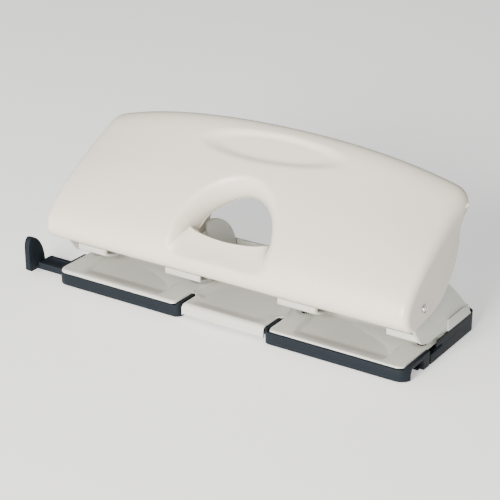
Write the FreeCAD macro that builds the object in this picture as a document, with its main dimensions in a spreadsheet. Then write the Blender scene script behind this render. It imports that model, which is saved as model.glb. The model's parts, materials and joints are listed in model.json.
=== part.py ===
import FreeCAD, Part
import math
import os
import Sketcher

# Frame: X runs along the punch, Y from its front to its rear, Z up.
# The origin is on the table, under the middle of the base.

doc = FreeCAD.newDocument("HolePunch")
sheet = doc.addObject("Spreadsheet::Sheet", "Sizes")


class Cell:
    """A number kept in the sheet, or worked out from such numbers, with its formula."""

    def __init__(self, formula, number):
        self.formula = formula
        self.number = number

    def __add__(self, other):
        other = as_cell(other)
        return Cell("(%s + %s)" % (self.formula, other.formula), self.number + other.number)

    def __sub__(self, other):
        other = as_cell(other)
        return Cell("(%s - %s)" % (self.formula, other.formula), self.number - other.number)

    def __mul__(self, other):
        other = as_cell(other)
        return Cell("(%s * %s)" % (self.formula, other.formula), self.number * other.number)

    def __truediv__(self, other):
        other = as_cell(other)
        return Cell("(%s / %s)" % (self.formula, other.formula), self.number / other.number)

    def __radd__(self, other):
        return as_cell(other) + self

    def __rsub__(self, other):
        return as_cell(other) - self

    def __rmul__(self, other):
        return as_cell(other) * self

    def __neg__(self):
        return as_cell(0) - self


def as_cell(value):
    return value if isinstance(value, Cell) else Cell(repr(value), float(value))


class Sheet:
    """The named cells, as attributes."""

    rows = 0

    def write(self, alias, text, number, note=""):
        self.rows += 1
        sheet.set("A%d" % self.rows, note or alias.replace("_", " "))
        sheet.set("B%d" % self.rows, text)
        sheet.setAlias("B%d" % self.rows, alias)
        setattr(self, alias, Cell("@" + alias, number))

    def size(self, alias, number, note):
        """A driving size, in millimetres unless its note says otherwise."""
        self.write(alias, str(number), float(number), note)

    def place(self, alias, cell):
        """A value that follows from others."""
        self.write(alias, "=" + cell.formula.replace("@", ""), cell.number)


d = Sheet()

# base
d.size("base_length", 258.0, "over the outer faces of the dark rims")
d.size("base_depth", 90.0, "front rim to rear rim")
d.size("deck_height", 10.0, "top of the base plate above the table")
d.size("plate_thickness", 1.5, "sheet of the base plate")
d.size("rim_wall", 2.7, "end wall of a rail or a tray")
d.size("front_wall", 2.5, "front and rear walls of the dark pieces")
d.size("rim_gap", 0.5, "plate's edge to the rim beside it")
d.size("plate_lap", 0.4, "plate's front edge behind the rail's front face")
d.size("foot_height", 0.8, "rubber under the front rails")
d.size("centre_width", 60.0, "plain section between the two plates")
d.size("centre_inset", 2.0, "its front flange behind the rims' front faces")
d.size("flange_clearance", 3.0, "its front flange above the table")
d.size("joint_gap", 1.0, "centre section to the inner wall of a rail")
# heads
d.size("punch_pitch", 80.0, "hole to hole")
d.size("punch_setback", 35.5, "row of holes behind the rims' front faces")
d.size("punch_radius", 3.0, "punch pin")
d.size("slide_clearance", 0.05, "pin in its bracket, radial")
d.size("die_clearance", 0.1, "pin in its die, radial")
d.size("bush_wall", 2.4, "wall of a die bush")
d.size("bush_drop", 2.2, "die bush below the plate")
d.size("paper_margin", 12.0, "hole centre to the paper's edge")
d.size("throat_height", 4.6, "slot for the paper")
d.size("jaw_sheet", 2.0, "sheet of the head brackets")
d.size("jaw_reach", 15.5, "front of a jaw's lip ahead of the holes")
d.size("jaw_flat", 7.0, "flat part of a jaw ahead of the holes")
d.size("lip_rise", 2.9, "foot of the lip above the flat of the jaw")
d.size("lip_height", 4.4, "upright front of the lip")
d.size("jaw_inner_reach", 17.7, "jaw from its pin towards the middle of the plate")
d.size("jaw_outer_reach", 11.3, "jaw from its pin towards the plate's end")
d.size("arm_rise", 14.9, "upper arm above the jaw's top")
d.size("arm_half", 8.0, "upper arm on each side of its pin")
d.size("gusset_lead", 5.5, "front of a side plate ahead of the holes")
d.size("gusset_height", 46.0, "side plate above the base plate")
d.size("bracket_foot", 9.0, "foot of a bracket behind the paper stop")
d.size("rivet_pitch", 12.0, "between the two rivets of a bracket")
d.size("rivet_shift", 3.0, "outer rivet inwards of the pin")
# springs and clips
d.size("clip_wall", 2.6, "retaining clip, across its ring")
d.size("clip_sheet", 1.2, "retaining clip")
d.size("clip_gap", 0.2, "clip below the upper arm at rest")
d.size("coil_gap", 1.2, "pin to the inside of its spring")
d.size("wire_radius", 0.4, "wire of a return spring")
d.size("coil_turns", 5.5, "turns of a return spring, a count")
d.size("tip_gap", 0.2, "pin's tip above the jaw's underside at rest")
d.size("dome_radius", 4.0, "rounded top of a pin")
# frame
d.size("cheek_sheet", 2.0, "end cheeks")
d.size("cheek_foot", 12.0, "foot of a cheek on the plate")
d.size("ledge_rise", 8.0, "step low on a cheek, above the base plate")
d.size("ledge_start", 8.9, "front of that step behind the paper stop")
d.size("ledge_proud", 1.1, "step beyond the cheek")
d.size("cheek_inset", 7.0, "cheek's rear edge ahead of the rear rim")
d.size("wall_setback", 27.0, "frame's rear wall behind the holes")
d.size("wall_rise", 22.5, "rear wall above the base plate")
d.size("wall_sheet", 1.5, "rear wall")
d.size("wall_foot", 11.0, "foot of the rear wall")
# pivot
d.size("pivot_height", 43.5, "lever's axis above the table")
d.size("pivot_lead", 21.5, "lever's axis ahead of the holes")
d.size("pivot_radius", 2.0, "pivot pins")
d.size("pivot_clearance", 0.05, "pivot pin in its cheek, radial")
d.size("rivet_head", 2.6, "radius of a pivot pin's head")
d.size("rivet_rise", 1.2, "height of a pivot pin's head")
d.size("boss_radius", 8.0, "cheek round the pivot")
d.size("washer_wall", 3.5, "pivot washer, across its ring")
d.size("washer_sheet", 0.8, "pivot washers")
d.size("washer_gap", 0.1, "each side of a washer")
# cover
d.size("cover_overhang", 2.0, "cover's end beyond the base's end")
d.size("cover_wall", 2.0, "wall of the cover")
d.size("nose_reach", 6.8, "cover's nose ahead of the base")
d.size("nose_height", 44.0, "cover's nose above the table")
d.size("lip_drop", 12.0, "cover's lower edge below its nose")
d.size("lip_tuck", 8.8, "cover's lower edge behind its nose")
d.size("crown_height", 114.5, "top of the cover at its middle")
d.size("crown_drop", 18.4, "fall of the crown from its middle to its ends")
d.size("crown_setback", 73.5, "crown behind the nose")
d.size("cover_tail", 6.3, "cover's rear edge behind its crown")
d.size("window_half", 28.0, "half the finger window's width")
d.size("window_rise", 15.0, "window's sill above the nose")
d.size("window_height", 19.0, "window from sill to top")
d.size("finger_width", 5.0, "press fingers")
d.size("finger_gap", 0.3, "press finger above its pin at rest")
d.size("finger_lead", 3.5, "press finger ahead of its pin")
d.size("finger_tail", 5.5, "press finger behind its pin")
# guide bar
d.size("bar_width", 13.8, "guide bar")
d.size("bar_thickness", 4.6, "guide bar")
d.size("bar_setback", 7.1, "guide bar behind the rims' front faces")
d.size("bar_gap", 0.3, "guide bar in its groove")
d.size("ledge_sheet", 1.2, "ledges that carry the bar")
d.size("ledge_reach", 2.0, "ledges under the bar's edges")
d.size("bar_tail", 100.0, "inner end of the bar, right of the middle")
d.size("stop_reach", 21.0, "paper stop's inner face outside the base")
d.size("stop_sheet", 4.0, "paper stop")
d.size("stop_width", 19.0, "paper stop")
d.size("stop_height", 28.5, "paper stop's top above the table")
d.size("leaf_sheet", 0.2, "leaf spring over the bar")
d.size("leaf_length", 24.0, "leaf spring over the bar")
# trays
d.size("rail_depth", 29.5, "front rail, front to rear")
d.size("inner_wall_depth", 17.5, "inner wall of a rail beside the plate")
d.size("tray_floor", 1.2, "floor of a chip tray")
d.size("tray_wall", 2.0, "inner and front walls of a chip tray")
d.size("tray_gap", 0.3, "tray's walls below the plate")
d.size("notch_depth", 15.0, "low part of a tray's end wall")
d.size("tab_setback", 6.5, "plate's side tab behind the rail")
d.size("tab_drop", 3.0, "plate's side tab below its top")
d.size("tab_width", 4.0, "plate's side tab")
d.size("runner_sheet", 1.2, "tray runners")
d.size("runner_reach", 2.0, "lip of a runner under the tray's flange")
d.size("foot_width", 28.0, "centre foot")
d.size("foot_setback", 5.0, "centre foot ahead of the rear rim")
d.size("pad_length", 16.0, "rubber pads")
d.size("pad_depth", 5.0, "rubber pads")
d.size("fastener_radius", 1.5, "rivets of the frame")
d.size("fastener_edge", 1.1, "head of a rivet beyond its shank")
d.size("fastener_rise", 0.8, "height of a rivet's head")

# places that follow from those sizes
d.place("half_length", d.base_length / 2)
d.place("front", -d.base_depth / 2)
d.place("rear", d.base_depth / 2)
d.place("plate_under", d.deck_height - d.plate_thickness)
d.place("plate_end", d.half_length - d.rim_wall - d.rim_gap)
d.place("hole_row", d.front + d.punch_setback)
d.place("paper_stop", d.hole_row + d.paper_margin)
d.place("jaw_under", d.deck_height + d.throat_height)
d.place("jaw_top", d.jaw_under + d.jaw_sheet)
d.place("lip_front", d.hole_row - d.jaw_reach)
d.place("lip_foot", d.jaw_under + d.lip_rise)
d.place("lip_top", d.lip_foot + d.lip_height)
d.place("arm_under", d.jaw_top + d.arm_rise)
d.place("arm_top", d.arm_under + d.jaw_sheet)
d.place("wall_front", d.hole_row + d.wall_setback)
d.place("wall_top", d.deck_height + d.wall_rise)
d.place("pivot_row", d.hole_row - d.pivot_lead)
d.place("cover_half", d.half_length + d.cover_overhang)
d.place("cover_inner", d.cover_half - d.cover_wall)
d.place("cheek_outer", d.cover_inner - d.washer_sheet - 2 * d.washer_gap)
d.place("cheek_inner", d.cheek_outer - d.cheek_sheet)
d.place("cheek_rear", d.rear - d.cheek_inset)
d.place("rail_inner", d.centre_width / 2 + d.joint_gap)
d.place("plate_start", d.rail_inner + d.front_wall + d.rim_gap)
d.place("rail_rear", d.front + d.rail_depth)
d.place("bar_front", d.front + d.bar_setback)
d.place("bar_rear", d.bar_front + d.bar_width)
d.place("bar_under", d.foot_height + d.ledge_sheet + d.bar_gap)
d.place("bar_top", d.bar_under + d.bar_thickness)
d.place("groove_top", d.bar_top + d.bar_gap)
d.place("tray_top", d.plate_under - d.tray_gap)
d.place("tray_front", d.rail_rear + d.rim_gap)
d.place("tray_inner", d.plate_start)
d.place("flange_top", d.plate_under - 2 * d.rim_gap)
d.place("runner_top", d.flange_top - d.tray_floor - d.tray_gap)
d.place("runner_under", d.runner_top - d.runner_sheet)
d.place("nose", d.front - d.nose_reach)
d.place("crown_row", d.nose + d.crown_setback)
d.place("cover_rear", d.crown_row + d.cover_tail)
d.place("clip_top", d.arm_under - d.clip_gap)
d.place("clip_under", d.clip_top - d.clip_sheet)
doc.recompute()


def bind(item, path, value):
    """Ties a property to the sheet."""
    item.setExpression(path, as_cell(value).formula.replace("@", "Sizes."))


def put(item, x=0, y=0, z=0):
    """Ties an object's place to the sheet."""
    for axis, value in zip("xyz", (x, y, z)):
        bind(item, "Placement.Base." + axis, value)
    return item


def part(kind, name, **sizes):
    item = doc.addObject("Part::" + kind, name)
    for key, value in sizes.items():
        bind(item, key, value)
    return item


def block(name, x, y, z):
    """A box between two limits on each axis, the lower one first."""
    item = part("Box", name, Length=x[1] - x[0], Width=y[1] - y[0], Height=z[1] - z[0])
    return put(item, x[0], y[0], z[0])


def rod(name, radius, x, y, z):
    """An upright cylinder at x, y, between two heights."""
    item = part("Cylinder", name, Radius=radius, Height=z[1] - z[0])
    return put(item, x, y, z[0])


def cross_rod(name, radius, x, y, z):
    """A cylinder along X between two limits, at y, z."""
    item = part("Cylinder", name, Radius=radius, Height=x[1] - x[0])
    item.Placement.Rotation = FreeCAD.Rotation(Vector(0, 1, 0), 90)
    return put(item, x[0], y, z)


def fuse(name, *items):
    item = doc.addObject("Part::MultiFuse", name)
    item.Shapes = list(items)
    return item


def cut(name, base, *tools):
    item = doc.addObject("Part::Cut", name)
    item.Base = base
    item.Tool = tools[0] if len(tools) == 1 else fuse(name + "_tools", *tools)
    return item


def common(name, base, tool):
    item = doc.addObject("Part::Common", name)
    item.Base = base
    item.Tool = tool
    return item


Vector = FreeCAD.Vector
NODES = {}


def node(name, item):
    """Names a finished piece."""
    item.Label = name
    NODES[name] = item
    return item


def body(name):
    return doc.addObject("PartDesign::Body", name)


def new_sketch(owner, role, offset):
    """An empty sketch on one of the body's planes, moved along that plane's normal."""
    sketch = owner.newObject("Sketcher::SketchObject", owner.Name + "_sketch")
    base = [f for f in owner.Origin.OriginFeatures if f.Role == role][0]
    sketch.AttachmentSupport = [(base, "")]
    sketch.MapMode = "FlatFace"
    bind(sketch, "AttachmentOffset.Base.z", offset)
    return sketch


def hold(sketch, geometry, end, across, up):
    """Holds one point of a sketch at a place that follows the sheet."""
    for kind, value in (("DistanceX", as_cell(across)), ("DistanceY", as_cell(up))):
        index = sketch.addConstraint(Sketcher.Constraint(kind, -1, 1, geometry, end, value.number))
        bind(sketch, "Constraints[%d]" % index, value)


def outline(owner, role, corners, offset=0):
    """A closed outline of straight lines through the given corners."""
    sketch = new_sketch(owner, role, offset)
    points = [Vector(as_cell(a).number, as_cell(b).number, 0) for a, b in corners]
    count = len(points)
    for i in range(count):
        sketch.addGeometry(Part.LineSegment(points[i], points[(i + 1) % count]), False)
    for i in range(count):
        sketch.addConstraint(Sketcher.Constraint("Coincident", i, 2, (i + 1) % count, 1))
    for i, (across, up) in enumerate(corners):
        hold(sketch, i, 1, across, up)
    return sketch


def circles(owner, role, centres, radius, offset=0):
    """Circles of one radius."""
    sketch = new_sketch(owner, role, offset)
    for i, (across, up) in enumerate(centres):
        middle = Vector(as_cell(across).number, as_cell(up).number, 0)
        sketch.addGeometry(Part.Circle(middle, Vector(0, 0, 1), as_cell(radius).number), False)
        hold(sketch, i, 3, across, up)
        index = sketch.addConstraint(Sketcher.Constraint("Radius", i, as_cell(radius).number))
        bind(sketch, "Constraints[%d]" % index, radius)
    return sketch


def pad(owner, sketch, length):
    feature = owner.newObject("PartDesign::Pad", owner.Name + "_pad")
    feature.Profile = sketch
    bind(feature, "Length", length)
    sketch.Visibility = False
    return feature


def pocket(owner, sketch, length):
    """Cuts upwards from the sketch, along its plane's normal."""
    feature = owner.newObject("PartDesign::Pocket", owner.Name + "_pocket")
    feature.Profile = sketch
    feature.Reversed = True
    bind(feature, "Length", length)
    sketch.Visibility = False
    return feature


def turned(name, profile, x, y):
    """A piece turned about an upright axis; its profile is radius against height."""
    owner = body(name)
    sketch = outline(owner, "XZ_Plane", profile)
    feature = owner.newObject("PartDesign::Revolution", name + "_turn")
    feature.Profile = sketch
    feature.ReferenceAxis = (sketch, ["V_Axis"])
    feature.Angle = 360
    return put(owner, x, y, 0)


def rectangle(x, y):
    return [(x[0], y[0]), (x[1], y[0]), (x[1], y[1]), (x[0], y[1])]


def span(side, near, far):
    """Limits on X for a piece on one side, given as distances from the middle."""
    return (near, far) if side > 0 else (-as_cell(far), -as_cell(near))


SIDES = (("left", -1), ("right", 1))
# number, side of the punch, distance of the pin from the middle, 1 where the head is an end head
HEADS = (
    (1, -1, d.punch_pitch * 1.5, True),
    (2, -1, d.punch_pitch / 2, False),
    (3, 1, d.punch_pitch / 2, False),
    (4, 1, d.punch_pitch * 1.5, True),
)


# ---- base plate ----
def make_base_plate():
    plate = body("base_plate")
    edge = d.front + d.plate_lap
    middle = d.front + d.centre_inset
    slot = d.front + d.inner_wall_depth + d.rim_gap
    half_middle = d.centre_width / 2
    back = d.rear - d.front_wall - d.rim_gap
    right = [
        (half_middle, middle),
        (half_middle, slot),
        (d.plate_start, slot),
        (d.plate_start, edge),
        (d.plate_end, edge),
        (d.plate_end, back),
    ]
    left = [(-as_cell(x), y) for x, y in reversed(right)]
    pad(plate, outline(plate, "XY_Plane", right + left, d.plate_under), d.plate_thickness)
    flange = rectangle((-half_middle, half_middle), (middle, middle + d.plate_thickness))
    drop = d.deck_height - d.flange_clearance
    pad(plate, outline(plate, "XY_Plane", flange, d.flange_clearance), drop)
    for name, side in SIDES:
        tab_front = d.rail_rear + d.tab_setback
        tab_limits = span(side, d.plate_end, d.half_length - d.rim_gap)
        tab = rectangle(tab_limits, (tab_front, tab_front + d.tab_width))
        pad(plate, outline(plate, "XY_Plane", tab, d.deck_height - d.tab_drop), d.tab_drop)
    holes = [(side * away, d.hole_row) for number, side, away, end in HEADS]
    doc.recompute()
    pocket(plate, circles(plate, "XY_Plane", holes, d.punch_radius + d.die_clearance), d.deck_height)
    rivets = bracket_rivets() + frame_rivets()
    pocket(plate, circles(plate, "XY_Plane", rivets, d.fastener_radius), d.deck_height)
    node("base_plate", plate)


def bracket_rivets():
    """Centres of the rivets that hold the head brackets, two to a head."""
    row = d.paper_stop + d.jaw_sheet + (d.bracket_foot - d.jaw_sheet) / 2
    centres = []
    for number, side, away, at_end in HEADS:
        inwards = -side if at_end else side
        for shift in (d.rivet_shift, d.rivet_shift + d.rivet_pitch):
            centres.append((side * away + inwards * shift, row))
    return centres


def frame_rivets():
    """Centres of the rivets that hold the rear wall and the cheeks."""
    row = d.wall_front + d.wall_sheet + (d.wall_foot - d.wall_sheet) / 2
    wall = [(step * d.punch_pitch, row) for step in (-1, 0, 1)]
    column = d.cheek_inner - d.cheek_foot / 2
    cheeks = [(side * column, d.cheek_rear - d.cheek_foot / 4) for name, side in SIDES]
    return wall + cheeks


def make_rivets(name, centres, top):
    heads = []
    for i, (x, y) in enumerate(centres):
        shank = rod("%s_shank_%d" % (name, i), d.fastener_radius, x, y, (d.plate_under, top))
        wide = d.fastener_radius + d.fastener_edge
        upper = rod("%s_upper_%d" % (name, i), wide, x, y, (top, top + d.fastener_rise))
        lower = rod("%s_lower_%d" % (name, i), wide, x, y, (d.plate_under - d.fastener_rise, d.plate_under))
        heads.append(fuse("%s_%d" % (name, i), shank, upper, lower))
    node(name, fuse(name, *heads))


# ---- head brackets, pins, springs, clips and dies ----
def make_head(number, side, away, at_end):
    x = side * away
    # towards the middle of the plate is inwards, which is outwards on the punch for the inner heads
    out = side if at_end else -side
    outer = d.cheek_inner - away if at_end else d.jaw_outer_reach
    near, far = (-d.jaw_inner_reach, outer) if out > 0 else (-outer, d.jaw_inner_reach)
    name = "head_bracket_%d" % number

    jaw = body(name + "_jaw")
    corners = [
        (d.lip_front, d.lip_top),
        (d.lip_front, d.lip_foot),
        (d.hole_row - d.jaw_flat, d.jaw_under),
        (d.paper_stop, d.jaw_under),
        (d.paper_stop, d.deck_height),
        (d.paper_stop + d.bracket_foot, d.deck_height),
        (d.paper_stop + d.bracket_foot, d.deck_height + d.jaw_sheet),
        (d.paper_stop + d.jaw_sheet, d.deck_height + d.jaw_sheet),
        (d.paper_stop + d.jaw_sheet, d.jaw_top),
        (d.hole_row - d.jaw_flat, d.jaw_top),
        (d.lip_front + d.jaw_sheet, d.lip_foot + d.jaw_sheet / 2),
        (d.lip_front + d.jaw_sheet, d.lip_top),
    ]
    pad(jaw, outline(jaw, "YZ_Plane", corners, x + near), far - near)

    arm = body(name + "_arm")
    angle = [
        (d.hole_row - d.arm_half, d.arm_under),
        (d.paper_stop, d.arm_under),
        (d.paper_stop, d.jaw_under + d.jaw_sheet / 2),
        (d.paper_stop + d.jaw_sheet, d.jaw_under + d.jaw_sheet / 2),
        (d.paper_stop + d.jaw_sheet, d.arm_top),
        (d.hole_row - d.arm_half, d.arm_top),
    ]
    arm_out = outer if at_end else d.arm_half
    low, high = (-d.arm_half, arm_out) if out > 0 else (-as_cell(arm_out), d.arm_half)
    pad(arm, outline(arm, "YZ_Plane", angle, x + low), high - low)

    pieces = [jaw, arm]
    if not at_end:
        plate = (far - d.jaw_sheet, far) if out > 0 else (near, near + d.jaw_sheet)
        gusset_front = d.hole_row - d.gusset_lead
        full = block(name + "_plate", (x + plate[0], x + plate[1]), (gusset_front, d.wall_front),
                     (d.jaw_under + d.jaw_sheet / 2, d.deck_height + d.gusset_height))
        round_off = cross_rod(name + "_round", d.wall_front - gusset_front, (x + plate[0], x + plate[1]),
                              gusset_front, d.deck_height + d.gusset_height - (d.wall_front - gusset_front))
        foot = block(name + "_plate_foot", (x + plate[0], x + plate[1]), (gusset_front, d.wall_front),
                     (d.jaw_under + d.jaw_sheet / 2, d.wall_top - d.jaw_sheet))
        pieces.append(fuse(name + "_side", common(name + "_quarter", full, round_off), foot))
    bore = d.punch_radius + d.slide_clearance
    hole = rod(name + "_hole", bore, x, d.hole_row, (d.deck_height, d.arm_top + d.jaw_sheet))
    rivet_holes = []
    for i, (rivet_x, row) in enumerate(bracket_rivets()[2 * number - 2:2 * number]):
        rivet_holes.append(rod("%s_rivet_hole_%d" % (name, i), d.fastener_radius, rivet_x, row,
                               (d.plate_under, d.deck_height + 2 * d.jaw_sheet)))
    node(name, cut(name, fuse(name + "_blank", *pieces), hole, *rivet_holes))

    tip = d.jaw_under + d.tip_gap
    top = d.pivot_height
    pin = [
        (0, tip + d.punch_radius / 6),
        (d.punch_radius, tip),
        (d.punch_radius, top - d.dome_radius / 2),
        (d.punch_radius * 0.7, top - d.dome_radius / 6),
        (d.punch_radius * 0.1, top),
        (0, top),
    ]
    node("punch_pin_%d" % number, turned("punch_pin_%d" % number, pin, x, d.hole_row))

    ring = rectangle((d.punch_radius, d.punch_radius + d.clip_wall), (d.clip_under, d.clip_top))
    node("pin_clip_%d" % number, turned("pin_clip_%d" % number, ring, x, d.hole_row))

    bore = d.punch_radius + d.die_clearance
    bush = rectangle((bore, bore + d.bush_wall), (d.plate_under - d.bush_drop, d.plate_under))
    node("die_bush_%d" % number, turned("die_bush_%d" % number, bush, x, d.hole_row))

    make_spring(number, x)


def make_spring(number, x):
    mean = d.punch_radius + d.coil_gap + d.wire_radius
    low = d.jaw_top + d.wire_radius + d.slide_clearance
    high = d.clip_under - d.wire_radius - d.slide_clearance
    helix = part("Helix", "spring_line_%d" % number, Radius=mean, Height=high - low)
    bind(helix, "Pitch", (high - low) / d.coil_turns)
    put(helix, x, d.hole_row, low)
    wire = part("RegularPolygon", "spring_wire_%d" % number, Circumradius=d.wire_radius)
    wire.Polygon = 12
    wire.Placement.Rotation = FreeCAD.Rotation(Vector(1, 0, 0), 90)
    put(wire, x + mean, d.hole_row, low)
    coil = doc.addObject("Part::Sweep", "return_spring_%d" % number)
    coil.Sections = [wire]
    coil.Spine = (helix, [])
    coil.Solid = True
    coil.Frenet = True
    node("return_spring_%d" % number, coil)


# ---- frame ----
def make_cheek(name, side):
    inner, outer = d.cheek_inner, d.cheek_outer
    label = "frame_cheek_" + name
    shelf = d.deck_height + d.ledge_rise
    boss = d.boss_radius
    corners = [
        (d.paper_stop, d.deck_height + d.tray_gap),
        (d.cheek_rear, d.deck_height + d.tray_gap),
        (d.cheek_rear, shelf),
        (d.cheek_rear - d.ledge_rise / 3, shelf + d.ledge_rise / 3),
        (d.paper_stop + d.ledge_start, d.pivot_height),
        (d.hole_row, d.pivot_height + boss),
        (d.pivot_row, d.pivot_height + boss),
        (d.pivot_row - boss, d.pivot_height),
        (d.lip_front - boss / 2, d.lip_top + boss / 2),
        (d.lip_front, d.lip_foot),
        (d.hole_row - d.jaw_flat, d.jaw_under),
        (d.paper_stop, d.jaw_under),
    ]
    sheet_side = body(label + "_sheet")
    pad(sheet_side, outline(sheet_side, "YZ_Plane", corners, span(side, inner, outer)[0]), d.cheek_sheet)
    foot_rows = (d.wall_front + d.wall_foot + d.rim_gap, d.cheek_rear)
    foot_top = d.deck_height + d.wall_sheet
    foot = block(label + "_foot", span(side, inner - d.cheek_foot, inner), foot_rows,
                 (d.deck_height, foot_top))
    step = block(label + "_step", span(side, outer, outer + d.ledge_proud),
                 (d.paper_stop + d.ledge_start, d.cheek_rear), (d.deck_height + d.tray_gap, shelf))
    bridge = block(label + "_bridge", span(side, inner - d.wall_sheet, inner), foot_rows,
                   (d.deck_height, shelf))
    pivot = cross_rod(label + "_pivot", d.pivot_radius + d.pivot_clearance,
                      span(side, inner - d.cheek_sheet, outer + d.cheek_sheet), d.pivot_row, d.pivot_height)
    x, y = frame_rivets()[3 if side < 0 else 4]
    rivet = rod(label + "_rivet", d.fastener_radius, x, y, (d.plate_under, foot_top + d.wall_sheet))
    node(label, cut(label, fuse(label + "_blank", sheet_side, foot, step, bridge), pivot, rivet))


def make_back_rail():
    half = d.cheek_inner
    corners = [
        (d.wall_front, d.deck_height),
        (d.wall_front + d.wall_foot, d.deck_height),
        (d.wall_front + d.wall_foot, d.deck_height + d.wall_sheet),
        (d.wall_front + d.wall_sheet, d.deck_height + d.wall_sheet),
        (d.wall_front + d.wall_sheet, d.wall_top),
        (d.wall_front, d.wall_top),
    ]
    rail = body("back_rail_angle")
    pad(rail, outline(rail, "YZ_Plane", corners, -half), 2 * half)
    holes = []
    for i, (x, y) in enumerate(frame_rivets()[:3]):
        limits = (d.plate_under, d.deck_height + 2 * d.wall_sheet)
        holes.append(rod("back_rail_hole_%d" % i, d.fastener_radius, x, y, limits))
    node("back_rail", cut("back_rail", rail, *holes))


# ---- dark rails and trays ----
def make_front_rail(name, side):
    rail = body("front_rail_" + name)
    groove = (d.bar_front - d.bar_gap, d.bar_rear + d.bar_gap)
    floor, lip = d.foot_height, d.foot_height + d.ledge_sheet
    corners = [
        (d.front, floor),
        (groove[0] + d.ledge_reach, floor),
        (groove[0] + d.ledge_reach, lip),
        (groove[0], lip),
        (groove[0], d.groove_top),
        (groove[1], d.groove_top),
        (groove[1], lip),
        (groove[1] - d.ledge_reach, lip),
        (groove[1] - d.ledge_reach, floor),
        (d.rail_rear, floor),
        (d.rail_rear, d.deck_height),
        (d.front, d.deck_height),
    ]
    limits = span(side, d.rail_inner, d.half_length)
    pad(rail, outline(rail, "YZ_Plane", corners, limits[0]), limits[1] - limits[0])
    doc.recompute()
    seat = rectangle(span(side, d.rail_inner + d.front_wall, d.half_length - d.rim_wall),
                     (d.front - d.rim_gap, d.rail_rear + d.rim_gap))
    pocket(rail, outline(rail, "XY_Plane", seat, d.plate_under), d.rim_wall + d.plate_thickness)
    opening = rectangle(span(side, d.rail_inner - d.rim_gap, d.rail_inner + d.front_wall + d.rim_gap),
                        (d.front + d.inner_wall_depth, d.rail_rear + d.rim_gap))
    pocket(rail, outline(rail, "XY_Plane", opening, d.groove_top), d.deck_height)
    arch = rectangle(span(side, d.half_length - d.rim_wall, d.half_length + d.rim_gap), groove)
    pocket(rail, outline(rail, "XY_Plane", arch, 0), d.groove_top)
    node("front_rail_" + name, rail)


def make_chip_tray(name, side):
    label = "chip_tray_" + name
    inner, outer = d.tray_inner, d.half_length
    wall_inner = d.half_length - d.rim_wall
    tray = body(label + "_shell")
    full = rectangle(span(side, inner, outer), (d.tray_front, d.rear))
    pad(tray, outline(tray, "XY_Plane", full, d.foot_height), d.deck_height - d.foot_height)
    doc.recompute()
    back = d.rear - d.front_wall
    hollow = rectangle(span(side, inner + d.tray_wall, wall_inner), (d.tray_front + d.tray_wall, back))
    pocket(tray, outline(tray, "XY_Plane", hollow, d.foot_height + d.tray_floor), d.deck_height)
    under_plate = rectangle(span(side, inner - d.rim_gap, wall_inner), (d.tray_front - d.rim_gap, back))
    pocket(tray, outline(tray, "XY_Plane", under_plate, d.tray_top), d.deck_height)
    notch = rectangle(span(side, wall_inner - d.rim_gap, outer + d.rim_gap),
                      (d.tray_front - d.rim_gap, d.tray_front + d.notch_depth))
    pocket(tray, outline(tray, "XY_Plane", notch, d.deck_height - d.tab_drop - d.tray_gap), d.deck_height)
    start = d.hole_row + d.punch_radius + d.die_clearance + d.bush_wall + d.rim_gap
    under_bush = rectangle(span(side, inner - d.rim_gap, wall_inner), (d.tray_front - d.rim_gap, start))
    pocket(tray, outline(tray, "XY_Plane", under_bush, d.runner_under - d.tray_gap), d.deck_height)
    high, low = d.flange_top, d.flange_top - d.tray_floor
    near_limits = span(side, inner + d.tray_wall, inner + d.tray_wall + d.runner_reach)
    near = block(label + "_near_flange", near_limits, (start, back), (low, high))
    far_limits = span(side, wall_inner - d.runner_reach, wall_inner)
    far = block(label + "_far_flange", far_limits, (start, back), (low, high))
    node(label, fuse(label, tray, near, far))


def make_runners():
    rails = []
    rows = (d.paper_stop, d.rear - 2 * d.front_wall)
    for name, side in SIDES:
        near = d.tray_inner + d.tray_wall
        far = d.half_length - d.rim_wall
        web_near = near + d.runner_reach + d.tray_gap
        web_far = far - d.runner_reach - d.tray_gap - d.runner_sheet
        places = {
            "near": (span(side, web_near, web_near + d.runner_sheet),
                     span(side, near + d.tray_gap, web_near)),
            "far": (span(side, web_far, web_far + d.runner_sheet),
                    span(side, web_far + d.runner_sheet, far - d.tray_gap)),
        }
        for which, (web, lip) in places.items():
            title = "runner_%s_%s" % (name, which)
            upright = block(title + "_web", web, rows, (d.runner_under, d.plate_under))
            hook = block(title + "_lip", lip, rows, (d.runner_under, d.runner_top))
            rails.append(fuse(title, upright, hook))
    node("tray_runners", fuse("tray_runners", *rails))


def make_feet():
    pads = []
    for name, side in SIDES:
        for i, away in enumerate((d.punch_pitch / 2, d.punch_pitch * 1.5)):
            limits = span(side, away - d.pad_length / 2, away + d.pad_length / 2)
            start = d.front + d.rim_gap
            rows = (start, start + d.pad_depth)
            pads.append(block("front_pad_%s_%d" % (name, i), limits, rows, (0, d.foot_height)))
    node("front_feet", fuse("front_feet", *pads))
    start = d.bar_rear + d.front_wall
    half = d.foot_width / 2
    foot = block("centre_foot_block", (-half, half), (start, d.rear - d.foot_setback), (0, d.plate_under))
    x, y = frame_rivets()[1]
    relief = rod("centre_foot_relief", d.foot_width / 4, x, y, (d.flange_clearance, d.deck_height))
    node("centre_foot", cut("centre_foot", foot, relief))


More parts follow.
